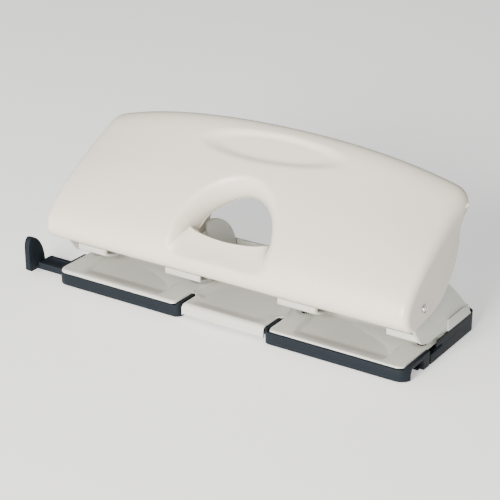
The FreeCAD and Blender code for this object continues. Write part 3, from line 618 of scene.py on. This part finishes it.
def addWindow(grid, addPoint, faces):
    # rings from the block round the window to its inner edge and on behind it
    step = cover["rowStep"]
    low, high = (round(t / step) for t in window["rows"])
    left, right = cover["sideColumns"], cover["sideColumns"] + cover["centreColumns"]
    around = [(low, j) for j in range(left, right)] + [(i, right) for i in range(low, high)]
    around += [(high, j) for j in range(right, left, -1)] + [(i, left) for i in range(high, low, -1)]
    spokes = [windowSpoke(columnX(j, roundStart(i * step)[0]), i * step) for i, j in around]
    rings = [[grid[key] for key in around]]
    flatRings, turnRings, curlRings = window["rings"]
    for k in range(1, flatRings + 1):
        share = k / flatRings
        rings.append([addPoint(coverPoint(s["x"] + (s["outerX"] - s["x"]) * share,
                                          s["t"] + (s["outerT"] - s["t"]) * share)) for s in spokes])
    for k in range(1, turnRings + 1):
        share = k / turnRings
        rings.append([addPoint(bezier(s["start"], s["lead"], s["follow"], s["inner"], share)) for s in spokes])
    for k in range(1, curlRings + 1):
        share = k / curlRings
        sine, fall = math.sin(math.pi / 2 * share), 1 - math.cos(math.pi / 2 * share)
        rings.append([addPoint(s["inner"] + s["tail"] * Vector((share, sine, fall))) for s in spokes])
    count = len(around)
    for outer, inner in zip(rings, rings[1:]):
        for k in range(count):
            n = (k + 1) % count
            faces.append((outer[k], outer[n], inner[n], inner[k]))


def addEnd(side, grid, addPoint, faces):
    # an arc along the whole outline, then the flat end face
    half, step, arcSteps = cover["halfLength"], cover["rowStep"], cover["arcSteps"]
    mainRows = round(cover["lastRow"] / step)
    edgeColumn = 2 * cover["sideColumns"] + cover["centreColumns"] if side > 0 else 0
    arcs = []
    for i in range(round(len(sectionHandles) / step)):
        t = i * step
        startX, first, radius = roundStart(t)
        base = plainPoint(startX, t)
        outward = outwardAt(startX, t)
        heart = Vector((startX, *endHeart["place"])) - base
        lean = smoothStep(*endHeart["from"], t) * smoothStep(*endHeart["to"], t)
        outward = (outward - heart.normalized() * lean * endHeart["pull"]).normalized()
        row = []
        for k in range(arcSteps + 1):
            if k == 0 and i <= mainRows:
                row.append(grid[i, edgeColumn])
                continue
            angle = first + (math.pi / 2 - first) * k / arcSteps
            point = base - outward * radius * (math.cos(first) - math.cos(angle))
            point.x = side * (half - radius + radius * math.sin(angle))
            row.append(addPoint(point))
        arcs.append(row)
    for here, ahead in zip(arcs, arcs[1:] + arcs[:1]):
        for k in range(arcSteps):
            face = (here[k], here[k + 1], ahead[k + 1], ahead[k])
            faces.append(face if side > 0 else face[::-1])
    rim = tuple(row[-1] for row in arcs)
    faces.append(rim[::-1] if side > 0 else rim)


def makeCover():
    points, faces = [], []

    def addPoint(point):
        points.append(point * mm)
        return len(points) - 1

    grid = addMainGrid(addPoint, faces)
    addWindow(grid, addPoint, faces)
    for side in (-1, 1):
        addEnd(side, grid, addPoint, faces)
    mesh = bpy.data.meshes.new("handleCover")
    mesh.from_pydata(points, [], faces)
    mesh.update()
    piece = bpy.data.objects.new("handleCover", mesh)
    bpy.context.scene.collection.objects.link(piece)
    applyModifier(piece, "SOLIDIFY", thickness=cover["wall"] * mm, offset=-1, use_even_offset=False)
    makeActive(piece)
    bpy.ops.object.shade_smooth_by_angle(angle=math.radians(50))
    return piece


handleCover = finishPiece(makeCover(), "lever", "cover", "lever_cover")
print("handle cover:", len(handleCover.data.polygons), "faces")


# press fingers: webs inside the cover, one over each pin
finger = {
    "places": (-120.0, -40.0, 40.0, 120.0),
    "width": 5.0,
    "foot": 43.8,
    "front": -13.0,
    "heel": -4.0,
    "neck": 59.0,
    "knee": 78.0,
    "rear": 15.4,
    "lean": 0.279,
    "sink": 1.4,               # how far the upper edge stays under the cover's outer surface
    "rows": (10.6, 7.4),
    "steps": 39,
}


def makeFinger(number, x):
    # the upper edge stays within the cover's own sheet
    front, rear, neck, sink = finger["front"], finger["rear"], finger["neck"], finger["sink"]
    firstRow, lastRow = finger["rows"]
    edge = []
    for k in range(finger["steps"] + 1):
        t = firstRow + (lastRow - firstRow) * k / finger["steps"]
        point = coverPoint(x, t) - outwardAt(x, t) * sink
        if point.y <= rear and point.y >= front + (point.z - neck) * finger["lean"]:
            edge.append((point.y, point.z))
    edge[0] = (rear, edge[0][1])
    foot, half = finger["foot"], finger["width"] / 2
    corners = [(front, foot), (finger["heel"], foot), (rear, finger["knee"]), *edge, (front, neck)]
    piece = outlineSolid("pressFinger_%d" % number, corners, "YZ", x - half, x + half)
    cleanMesh(piece)
    softEdges(piece, 0.3, 2)
    return piece


for number, x in enumerate(finger["places"], 1):
    finishPiece(makeFinger(number, x), "lever", "cover", "press_finger_%d" % number)
print("press fingers built")


# paper decks: two scooped plates and the plain centre section between them
deck = {
    "top": 10.0,
    "front": -44.6,
    "rear": 42.0,
    "inner": 33.9,
    "outer": 126.2,
    "cornerRadius": 5.0,
    "roll": 1.1,
    "pitch": 160.0,            # the right plate is the left one moved along
    "sheet": 1.0,
    "crowding": 1.35,          # rows of the grid stand closer towards the front
    "holeRow": -9.5,
    "holes": (40.0, 120.0),
    "holeRadius": 3.1,
    "dimpleRadius": 6.7,
    "dimpleDepth": 0.5,
}
# the paper ramp pressed into the left plate, between a ridge and a crease that run front to back
scoop = {
    "depth": 1.9,
    "crease": -48.2,
    "creaseWidth": 1.6,
    "ridge": (-113.0, -4.0, -39.0, 27.0),      # place, shift, and the row and length over which it shifts
    "ridgeWidth": 5.0,
    "shallow": 0.4,
    "frontFade": (-43.2, -31.0),
    "rearFade": (4.0, -3.0),
}
# curved limit of the scoop's flat floor, in the left plate: row, then place along the plate
scoopArc = [(-44, -48.4), (-36, -48.8), (-30, -50), (-21.5, -57), (-14, -72), (-10, -84), (0, -98), (50, -98)]
# half width of the centre section at its front, then two changes with the rows between which they grow
seam = {"front": 30.2, "step": 3.4, "stepRows": (-28.5, -23.5), "taper": 3.0, "taperRows": (-22.0, -3.0)}


def seamAt(y):
    # half width of the centre section where it meets the plates
    return (seam["front"] + seam["step"] * smoothStep(*seam["stepRows"], y)
            - seam["taper"] * smoothStep(*seam["taperRows"], y))


def deckHeight(x, y):
    # the scooped paper ramp and the dimples round the die holes
    left = x - deck["pitch"] if x > 0 else x
    place, shift, row, length = scoop["ridge"]
    ridge = place + shift * (y - row) / length
    crease, shallow = scoop["crease"], scoop["shallow"]
    ramp = min(1.0, max(0.0, (crease - left) / (crease - fromTable(scoopArc, y))))
    across = smoothStep(0, scoop["ridgeWidth"], left - ridge)
    across *= smoothStep(0, scoop["creaseWidth"], crease - left) * (shallow + (1 - shallow) * ramp)
    along = smoothStep(*scoop["frontFade"], y) * smoothStep(*scoop["rearFade"], y)
    height = deck["top"] - scoop["depth"] * across * along
    for hole in deck["holes"]:
        away = math.hypot(abs(x) - hole, y - deck["holeRow"])
        height -= deck["dimpleDepth"] * smoothStep(deck["dimpleRadius"], deck["holeRadius"], away)
    return height


def makeDeckPlate(name, side):
    def rule(u, v):
        y = deck["front"] + (deck["rear"] - deck["front"]) * v ** deck["crowding"]
        radius = deck["cornerRadius"]
        near = max(0.0, deck["front"] + radius - y)
        cornerIn = radius - math.sqrt(max(0.0, radius * radius - near * near))
        low = deck["inner"] + cornerIn * 0.6
        # behind its front part the plate meets the centre section
        low += (seamAt(y) + 0.02 - low) * smoothStep(-27.2, -23.5, y)
        high = deck["outer"] - cornerIn
        x = low + (high - low) * u
        edge = min(x - low, high - x, y - deck["front"])
        roll = deck["roll"]
        drop = roll - math.sqrt(max(0.0, roll * roll - max(0.0, roll - edge) ** 2))
        return (side * x, y, deckHeight(side * x, y) - drop)

    plate = gridSolid(name, 150, 110, rule, deck["sheet"])
    cleanMesh(plate)
    row = deck["holeRow"]
    drills = [addRod("drill", deck["holeRadius"], (side * x, row, 0), (side * x, row, 20)) for x in deck["holes"]]
    subtract(plate, *drills)
    return plate


centreDeck = {"front": -43.2, "rear": 42.0, "bend": 3.0, "foot": 3.0, "dip": 1.1, "dipEdge": (0.8, 9.0),
              "dipFront": (-41.7, -32.0), "dipRear": (8.0, -4.0), "lip": 0.7, "sheet": 1.3, "crowding": 1.6}


def makeCentreDeck():
    # runs back from the foot of its front flange, round the bend and along the top
    bend, front = centreDeck["bend"], centreDeck["front"]
    flange = deck["top"] - bend - centreDeck["foot"]
    arc = bend * math.pi / 2
    length = flange + arc + centreDeck["rear"] - front - bend

    def rule(u, v):
        run = length * v ** centreDeck["crowding"]
        if run < flange:
            y, z = front, centreDeck["foot"] + run
        elif run < flange + arc:
            angle = (run - flange) / bend
            y, z = front + bend * (1 - math.cos(angle)), deck["top"] - bend + bend * math.sin(angle)
        else:
            y, z = front + bend + run - flange - arc, deck["top"]
        x = (2 * u - 1) * seamAt(y)
        edge = seamAt(y) - abs(x)
        dip = centreDeck["dip"] * smoothStep(*centreDeck["dipEdge"], edge)
        dip *= smoothStep(*centreDeck["dipFront"], y) * smoothStep(*centreDeck["dipRear"], y)
        lip = centreDeck["lip"]
        drop = lip - math.sqrt(max(0.0, lip * lip - max(0.0, lip - edge) ** 2))
        return (x, y, z - dip - drop)

    plate = gridSolid("centreDeck", 60, 120, rule, centreDeck["sheet"])
    cleanMesh(plate)
    return plate


deckPieces = [makeDeckPlate("deckLeft", -1), makeDeckPlate("deckRight", 1), makeCentreDeck()]
paperDeck = joinPieces("paperDeck", deckPieces)
makeActive(paperDeck)
bpy.ops.object.shade_smooth_by_angle(angle=math.radians(38))
finishPiece(paperDeck, "base", "base", "base_plate")
print("paper deck:", len(paperDeck.data.polygons), "faces")


# front rails: dark mouldings that hold the plates' front edges and guide the bar
rail = {
    "front": -45.0,
    "rear": -15.5,
    "inner": 31.0,
    "outer": 129.0,
    "foot": 0.4,
    "top": 10.0,
    "seat": 8.2,
    "corner": 7.5,
    "innerCorner": 4.5,
    "walls": (2.6, 2.5),       # left standing beside the seat, inner and outer
    "sideOpening": (3.4, -27.3, 7.2),
    "relief": (10.0, 3.0, 6.9),
    "groove": (-38.2, -23.8),
    "grooveHeight": (2.0, 7.2),
    "slotInset": 2.0,
    "slotTop": 2.5,
    "arch": (-39.0, -23.2),
    "archTop": 7.0,
    "archWall": 2.7,
    "archRadius": 3.0,
    "edge": 0.5,
}
past = 3.0     # cutters run this far past what they cut


def makeFrontRail(name, side):
    front, rear, inner, outer = rail["front"], rail["rear"], rail["inner"], rail["outer"]
    plan = [(inner, front, rail["innerCorner"]), (outer, front, rail["corner"]), (outer, rear, 1.2),
            (inner, rear, 0.0)]
    plan = [(side * x, y) for x, y in roundCorners(plan)]
    piece = outlineSolid(name, plan, "XY", rail["foot"], rail["top"])
    above, below = rail["top"] + past, rail["foot"] - past
    innerWall, outerWall = rail["walls"]
    seat = addBlock("seat", sideX(side, (inner + innerWall, outer - outerWall)), (front - past, rear + past),
                    (rail["seat"], above))
    reach, openFrom, openLevel = rail["sideOpening"]
    openSide = addBlock("openSide", sideX(side, (inner - past, inner + reach)), (openFrom, rear + past),
                        (openLevel, above))
    inset, frontWall, reliefLevel = rail["relief"]
    relief = addBlock("relief", sideX(side, (inner + inset, outer - inset)), (front + frontWall, rear + past),
                      (reliefLevel, above))
    whole = sideX(side, (inner - past, outer + past))
    grooveFront, grooveRear = rail["groove"]
    groove = addBlock("groove", whole, rail["groove"], rail["grooveHeight"])
    slot = addBlock("slot", whole, (grooveFront + rail["slotInset"], grooveRear - rail["slotInset"]),
                    (below, rail["slotTop"]))
    archFront, archRear = rail["arch"]
    archTop, radius = rail["archTop"], rail["archRadius"]
    archPlan = roundCorners([(archFront, below, 0.0), (archRear, below, 0.0), (archRear, archTop, radius),
                             (archFront, archTop, radius)])
    arch = outlineSolid("arch", archPlan, "YZ", side * (outer - rail["archWall"]), side * (outer + past))
    subtract(piece, seat, openSide, relief, groove, slot, arch)
    cleanMesh(piece)
    softEdges(piece, rail["edge"])
    return piece


for label, side in (("left", -1), ("right", 1)):
    finishPiece(makeFrontRail("frontRail_" + label, side), "base", "dark", "front_rail_" + label)
print("front rails built")


# foot pads under the rails
pads = {"rows": (-43.4, -39.6), "near": (34.5, 47.0), "far": (113.0, 125.0), "height": 0.8, "edge": 0.2}


def makeFootPads():
    blocks = [addBlock("pad", sideX(side, reach), pads["rows"], (0, pads["height"]))
              for side in (-1, 1) for reach in (pads["near"], pads["far"])]
    piece = joinPieces("footPads", blocks)
    cleanMesh(piece)
    softEdges(piece, pads["edge"], 2)
    return piece


finishPiece(makeFootPads(), "base", "rubber", "front_feet")
print("foot pads built")


# chip trays: dark boxes under the plates' rear halves, open at the top
tray = {
    "inner": 34.0,
    "outer": 129.0,
    "front": -15.0,
    "rear": 45.0,
    "foot": 0.4,
    "top": 10.0,
    "under": 8.2,
    "corner": 6.0,
    "innerCorner": 2.5,
    "floor": 1.2,
    "wall": 2.7,               # outer wall; the inner and front ones, then the rear one
    "thinWall": 2.0,
    "rearWall": 2.5,
    "bushes": (-3.5, 4.5),     # ahead of this row the walls stay below the die bushes
    "notch": (-20.0, 0.0, 6.7),
    "flange": (6.3, 7.5),
    "flangeReach": 2.0,
    "skirt": 0.72,             # thin upper edge outside the cheek
    "skirtFront": -7.0,
    "skirtRear": 1.2,
    "skirtHeight": (8.5, 12.8),
    "edge": 0.4,
}


def makeChipTray(name, side):
    inner, outer, front, rear = tray["inner"], tray["outer"], tray["front"], tray["rear"]
    wall, thinWall, rearWall = tray["wall"], tray["thinWall"], tray["rearWall"]
    above = tray["top"] + past
    plan = roundCorners([(inner, front, 0.8), (outer, front, 0.8), (outer, rear, tray["corner"]),
                         (inner, rear, tray["innerCorner"])])
    piece = outlineSolid(name, [(side * x, y) for x, y in plan], "XY", tray["foot"], tray["top"])
    hollowPlan = roundCorners([
        (inner + thinWall, front + thinWall, 1.5), (outer - wall, front + thinWall, 1.5),
        (outer - wall, rear - rearWall, tray["corner"] - rearWall), (inner + thinWall, rear - rearWall, 1.5)])
    hollow = outlineSolid("hollow", [(side * x, y) for x, y in hollowPlan], "XY",
                          tray["foot"] + tray["floor"], above)
    insideWall = sideX(side, (inner - past, outer - wall))
    bushRow, bushLevel = tray["bushes"]
    underDeck = addBlock("underDeck", insideWall, (front - past, rear - rearWall), (tray["under"], above))
    underBush = addBlock("underBush", insideWall, (front - past, bushRow), (bushLevel, above))
    notch = addBlock("notch", sideX(side, (outer - wall - 0.5, outer + past)), tray["notch"][:2],
                     (tray["notch"][2], above))
    subtract(piece, hollow, underDeck, underBush, notch)
    # two flanges hang in the runners; each is sunk 0.1 into its wall
    flangeRow, reach = (bushRow, rear - rearWall + 0.1), tray["flangeReach"]
    spans = ((inner + thinWall - 0.1, inner + thinWall + reach), (outer - wall - reach, outer - wall + 0.1))
    flanges = [addBlock("flange", sideX(side, span), flangeRow, tray["flange"]) for span in spans]
    skirtFront, skirtRear = tray["skirtFront"], rear - tray["skirtRear"]
    skirtInner = outer - tray["skirt"]
    skirtPlan = roundCorners([
        (outer, skirtFront, 0.0), (outer, rear, tray["corner"]), (inner, rear, 0.4), (inner, skirtRear, 0.0),
        (skirtInner, skirtRear, tray["corner"] - 1), (skirtInner, skirtFront, 0.0)])
    skirt = outlineSolid("skirt", [(side * x, y) for x, y in skirtPlan], "XY", *tray["skirtHeight"])
    unite(piece, skirt, *flanges)
    cleanMesh(piece)
    softEdges(piece, tray["edge"])
    return piece


for label, side in (("left", -1), ("right", 1)):
    finishPiece(makeChipTray("chipTray_" + label, side), "tray_" + label, "dark", "chip_tray_" + label)
print("chip trays built")


# guide bar: a flat strip in the rails' groove with an upright stop at its end
guide = {
    "bar": (-37.9, -24.1),
    "under": 2.3,
    "top": 6.9,
    "end": 100.0,
    "stop": (-154.0, -150.0),
    "stopFront": -46.8,
    "stopTop": 26.6,
    "stopDepth": 15.6,
    "stopBase": 0.7,           # the stop's foot stands this much above the strip's underside
    "brow": (3.6, 7.0),        # rounding of the stop's upper front, back and down
    "fallPower": 1.15,
    "channel": 0.5,
    "channelSides": 3.2,
    "edge": 0.7,
}


def makeGuideBar():
    # the stop is upright in front and falls away behind in one curve
    front, top, depth = guide["stopFront"], guide["stopTop"], guide["stopDepth"]
    low = guide["under"] + guide["stopBase"]
    back, down = guide["brow"]
    stopPlan = [(front + 5.5, low), (front + 1.5, low), (front, low + 1.5), (front, top - down)]
    for k in range(1, 6):
        angle = math.pi / 2 * k / 6
        stopPlan.append((front + back * (1 - math.cos(angle)), top - down + down * math.sin(angle)))
    for k in range(15):
        angle = math.pi / 2 * k / 14
        reach = (depth - back) * math.sin(angle) ** guide["fallPower"]
        stopPlan.append((front + back + reach, top - (top - guide["top"] + 0.5) * (1 - math.cos(angle))))
    stopPlan.append((front + depth, low))
    stop = outlineSolid("guideBar", stopPlan, "YZ", *guide["stop"])
    stopInner, (barFront, barRear) = guide["stop"][1], guide["bar"]
    strip = addBlock("strip", (stopInner - 1.0, guide["end"]), guide["bar"], (guide["under"], guide["top"]))
    sides = guide["channelSides"]
    channel = addBlock("channel", (stopInner + 3.0, guide["end"] + past), (barFront + sides, barRear - sides),
                       (guide["top"] - guide["channel"], guide["top"] + past))
    subtract(strip, channel)
    unite(stop, strip)
    cleanMesh(stop)
    softEdges(stop, guide["edge"])
    return stop


finishPiece(makeGuideBar(), "guide", "dark", "guide_bar")
print("guide bar built")


# head brackets: a folded paper jaw with a front lip and an arm that guides the pin;
# the inner two also have a side plate
bracket = {
    "sheet": 2.0,
    "under": 14.6,
    "lipFront": -25.0,
    "lipFoot": 17.5,
    "lipTop": 21.9,
    "flatFrom": -16.5,
    "stop": 2.5,               # where the paper stops and the sheet turns down to the plate
    "deck": 10.0,
    "foot": 11.5,
    "inwards": 17.7,
    "outwards": (6.0, 11.3),   # at a cheek, and on the inner two
    "armUnder": 31.5,
    "armFront": -17.5,
    "armReach": (6.0, 8.0),    # towards a cheek, and otherwise
    "armFoot": 15.6,
    "quarter": (-15.0, 23.5, 32.5),    # centre row and height of the side plate's curve, and its radius
    "quarterRear": 17.5,
    "pinRow": -9.5,
    "pinHole": 3.05,
    "corner": (3.0, 2.0, -27.0, -16.0),    # slanted cut of the lip: reach, overlap, and its rows
    "edge": 0.35,
}


def makeBracket(number, x, outwards, atEnd):
    # outwards is the way from the plate's middle; an end bracket runs out to the cheek
    near, far = bracket["inwards"], bracket["outwards"][0 if atEnd else 1]
    limits = (x - near, x + far) if outwards > 0 else (x - far, x + near)
    under, lip, lipTop, sheet = bracket["under"], bracket["lipFront"], bracket["lipTop"], bracket["sheet"]
    lipFoot, flat, stop = bracket["lipFoot"], bracket["flatFrom"], bracket["stop"]
    plate, foot = bracket["deck"], bracket["foot"]
    section = roundCorners([
        (lip, lipTop, 0.0), (lip, lipFoot, 1.6), (flat, under, 4.0), (stop, under, 0.0),
        (stop, plate, 0.0), (foot, plate, 0.0), (foot, plate + sheet, 0.0), (stop + sheet, plate + sheet, 1.0),
        (stop + sheet, under + sheet, 0.0), (flat, under + sheet, 4.0), (lip + sheet, lipFoot + 1.1, 1.2),
        (lip + sheet, lipTop, 0.0)])
    piece = outlineSolid("headBracket_%d" % number, section, "YZ", *limits)
    short, long = bracket["armReach"]
    reach = short if atEnd else long
    arm = (x - long, x + reach) if outwards > 0 else (x - reach, x + long)
    armFront, armUnder, armFoot = bracket["armFront"], bracket["armUnder"], bracket["armFoot"]
    armSection = roundCorners([
        (armFront, armUnder, 0.0), (stop, armUnder, 0.8), (stop, armFoot, 0.0), (stop + sheet, armFoot, 0.0),
        (stop + sheet, armUnder + sheet, 2.4), (armFront, armUnder + sheet, 0.0)])
    unite(piece, outlineSolid("arm", armSection, "YZ", *arm))
    if not atEnd:
        edge = limits[1] if outwards > 0 else limits[0]
        start = edge - sheet if outwards > 0 else edge
        row, level, radius = bracket["quarter"]
        quarter = [(row, armFoot), (bracket["quarterRear"], armFoot)]
        for k in range(19):
            angle = math.pi / 2 * k / 18
            quarter.append((row + radius * math.cos(angle), level + radius * math.sin(angle)))
        unite(piece, outlineSolid("sidePlate", quarter, "YZ", start, start + sheet))
    pinRow = bracket["pinRow"]
    subtract(piece, addRod("pinHole", bracket["pinHole"], (x, pinRow, 12.5), (x, pinRow, 40)))
    # the corner of the lip that faces the other head is cut away at a slant
    inner = limits[0] if outwards > 0 else limits[1]
    reach, overlap, cutFront, cutRear = bracket["corner"]
    cut = [(inner - outwards * overlap, cutFront), (inner + outwards * reach, cutFront),
           (inner - outwards * overlap, cutRear)]
    subtract(piece, outlineSolid("wedge", cut, "XY", under - past, lipTop + past))
    cleanMesh(piece)
    softEdges(piece, bracket["edge"], 2)
    return piece


heads = ((1, -120, -1, True), (2, -40, 1, False), (3, 40, -1, False), (4, 120, 1, True))
for number, x, outwards, atEnd in heads:
    finishPiece(makeBracket(number, x, outwards, atEnd), "base", "base", "head_bracket_%d" % number)
print("head brackets built")


# end cheeks: upright sheets that carry the cover's pivots, with a raised step low at the rear
cheek = {
    "inner": 126.0,
    "outer": 128.0,
    "pivot": (-31.0, 43.5),
    "pivotHole": 2.05,
    # corners as (row, height, radius)
    "outline": [(2.5, 10.3, 0.0), (38, 10.3, 0.0), (38, 15.5, 1.5), (31.5, 21.5, 5.0), (18.5, 34.0, 12.0),
                (5.5, 45.2, 8.0), (-10, 50.5, 5.0), (-33, 51.5, 7.0), (-39.5, 43.5, 6.0), (-34, 28, 6.0),
                (-25.5, 17.5, 3.0), (-16.5, 14.8, 3.0), (2.5, 14.8, 0.0)],
    "step": [(7.0, 13.1, 0.0), (37.5, 13.1, 0.0), (33.5, 17.6, 2.0), (27.5, 21.0, 2.0), (7.0, 20.6, 1.0)],
    "stepHeight": 1.1,
    "overlap": 0.5,            # how far the united solids reach into each other
    "footRows": (29.0, 38.0),
    "footReach": 12.0,
    "footHeight": (10.0, 11.5),
    "web": (1.5, 18.0),
    "edge": 0.5,
}


def makeCheek(name, side):
    inner, outer, overlap, rows = cheek["inner"], cheek["outer"], cheek["overlap"], cheek["footRows"]
    footFloor, footTop = cheek["footHeight"]
    webSheet, webTop = cheek["web"]
    piece = outlineSolid(name, roundCorners(cheek["outline"]), "YZ", side * inner, side * outer)
    step = outlineSolid("step", roundCorners(cheek["step"]), "YZ", side * (outer - overlap),
                        side * (outer + cheek["stepHeight"]))
    foot = addBlock("foot", sideX(side, (inner - cheek["footReach"], inner + overlap)), rows,
                    (footFloor, footTop))
    web = addBlock("web", sideX(side, (inner - webSheet, inner + overlap)), rows, (footFloor, webTop))
    unite(piece, step, foot, web)
    pivot = addRod("pivot", cheek["pivotHole"], (side * (inner - past), *cheek["pivot"]),
                   (side * (outer + past), *cheek["pivot"]))
    subtract(piece, pivot)
    cleanMesh(piece)
    softEdges(piece, cheek["edge"])
    return piece


for label, side in (("left", -1), ("right", 1)):
    finishPiece(makeCheek("endCheek_" + label, side), "base", "base", "frame_cheek_" + label)
print("end cheeks built")


# pivot rivets: a cupped head with a small button in it, and a shank through the cheek
rivet = {"radius": 2.6, "shank": 2.0, "from": 124.8, "seat": 130.95, "top": 132.1, "rim": 0.55, "cup": 0.7,
         "ring": 0.45, "button": 0.8, "edge": 0.12}


def makePivotRivet(name, side):
    y, z = cheek["pivot"]
    piece = addRod(name, rivet["radius"], (side * rivet["seat"], y, z), (side * rivet["top"], y, z))
    makeActive(piece)
    bpy.ops.object.mode_set(mode="EDIT")
    bpy.ops.mesh.select_all(action="DESELECT")
    bpy.ops.object.mode_set(mode="OBJECT")
    for face in piece.data.polygons:
        face.select = face.normal.x * side > 0.9
    bpy.ops.object.mode_set(mode="EDIT")
    bpy.ops.mesh.select_mode(type="FACE")
    bpy.ops.mesh.inset(thickness=rivet["rim"] * mm)
    sink = {"value": (-side * rivet["cup"] * mm, 0, 0)}
    bpy.ops.mesh.extrude_region_move(TRANSFORM_OT_translate=sink)
    bpy.ops.mesh.inset(thickness=rivet["ring"] * mm)
    lift = {"value": (side * rivet["cup"] * rivet["button"] * mm, 0, 0)}
    bpy.ops.mesh.extrude_region_move(TRANSFORM_OT_translate=lift)
    bpy.ops.object.mode_set(mode="OBJECT")
    shank = addRod("shank", rivet["shank"], (side * rivet["from"], y, z),
                   (side * (rivet["seat"] + 0.2), y, z))
    unite(piece, shank)
    cleanMesh(piece)
    softEdges(piece, rivet["edge"], 2)
    return piece


for label, side in (("left", -1), ("right", 1)):
    finishPiece(makePivotRivet("pivotRivet_" + label, side), "lever", "steel", "pivot_pin_" + label)
print("pivot rivets built")


# the parts carried over as they are only get their finish
slots = {entry["node"]: entry["material_slot"] for entry in frame["record"]["subparts"]}
kept = [name for name in cadNodes if not cadNodes[name].hide_render]
for name in kept:
    part = cadNodes[name]
    if not part.material_slots:
        part.data.materials.append(None)
    for slotEntry in part.material_slots:
        slotEntry.link = "OBJECT"
        slotEntry.material = finishes[slots[name]]
print("carried parts finished:", len(kept))


# stage, lights and camera
stage = {"size": 8.0, "level": -0.0002, "floor": (0.90, 0.90, 0.90), "roughness": 0.9, "glow": 0.6,
         "room": (0.95, 0.985, 1.0), "roomLight": 0.28}
lamps = [
    {"name": "keyLamp", "place": (0.1, -1.7, 0.62), "size": 0.9, "power": 96, "colour": (1.0, 0.97, 0.91)},
    {"name": "skyLamp", "place": (-0.9, -0.3, 1.8), "size": 1.4, "power": 9, "colour": (1.0, 0.98, 0.94)},
]
lampTarget = (0, 0, 0.05)
# the camera looks from the front right and above; angles in degrees, distance and near limit in metres
view = {"azimuth": 33.23, "elevation": 23.43, "distance": 1.01208, "target": (-12.06, 7.0, 32.34),
        "lens": 114.788, "sensor": 36, "near": 0.01}


def makeStage():
    clearSelection()
    bpy.ops.mesh.primitive_plane_add(size=stage["size"], location=(0, 0, stage["level"]))
    floor = takeNew("paleFloor")
    material, tree, shader = newFinish("floorPaint", stage["floor"], stage["roughness"], specular=0.1)
    shader.inputs["Base Color"].default_value = (*stage["floor"], 1)
    shader.inputs["Emission Color"].default_value = (1.0, 1.0, 1.0, 1)
    shader.inputs["Emission Strength"].default_value = stage["glow"]
    floor.data.materials.append(material)
    world = bpy.data.worlds.new("softRoom")
    bpy.context.scene.world = world
    world.use_nodes = True
    background = world.node_tree.nodes["Background"]
    background.inputs["Color"].default_value = (*stage["room"], 1)
    background.inputs["Strength"].default_value = stage["roomLight"]


def addLamp(values):
    clearSelection()
    bpy.ops.object.light_add(type="AREA", location=values["place"])
    lamp = bpy.context.active_object
    lamp.name = values["name"]
    lamp.data.shape = "DISK"
    lamp.data.size = values["size"]
    lamp.data.energy = values["power"]
    lamp.data.color = values["colour"]
    lamp.rotation_euler = (Vector(lampTarget) - Vector(values["place"])).to_track_quat("-Z", "Y").to_euler()


def makeCamera():
    azimuth, elevation = math.radians(view["azimuth"]), math.radians(view["elevation"])
    ahead = Vector((-math.sin(azimuth) * math.cos(elevation), math.cos(azimuth) * math.cos(elevation),
                    -math.sin(elevation)))
    camera = bpy.data.objects.new("camera", bpy.data.cameras.new("camera"))
    bpy.context.scene.collection.objects.link(camera)
    camera.location = Vector(view["target"]) * mm - ahead * view["distance"]
    camera.rotation_euler = ahead.to_track_quat("-Z", "Y").to_euler()
    camera.data.sensor_width = view["sensor"]
    camera.data.lens = view["lens"]
    camera.data.clip_start = view["near"]
    bpy.context.scene.camera = camera


makeStage()
for lampValues in lamps:
    addLamp(lampValues)
makeCamera()
print("stage, lights and camera set")
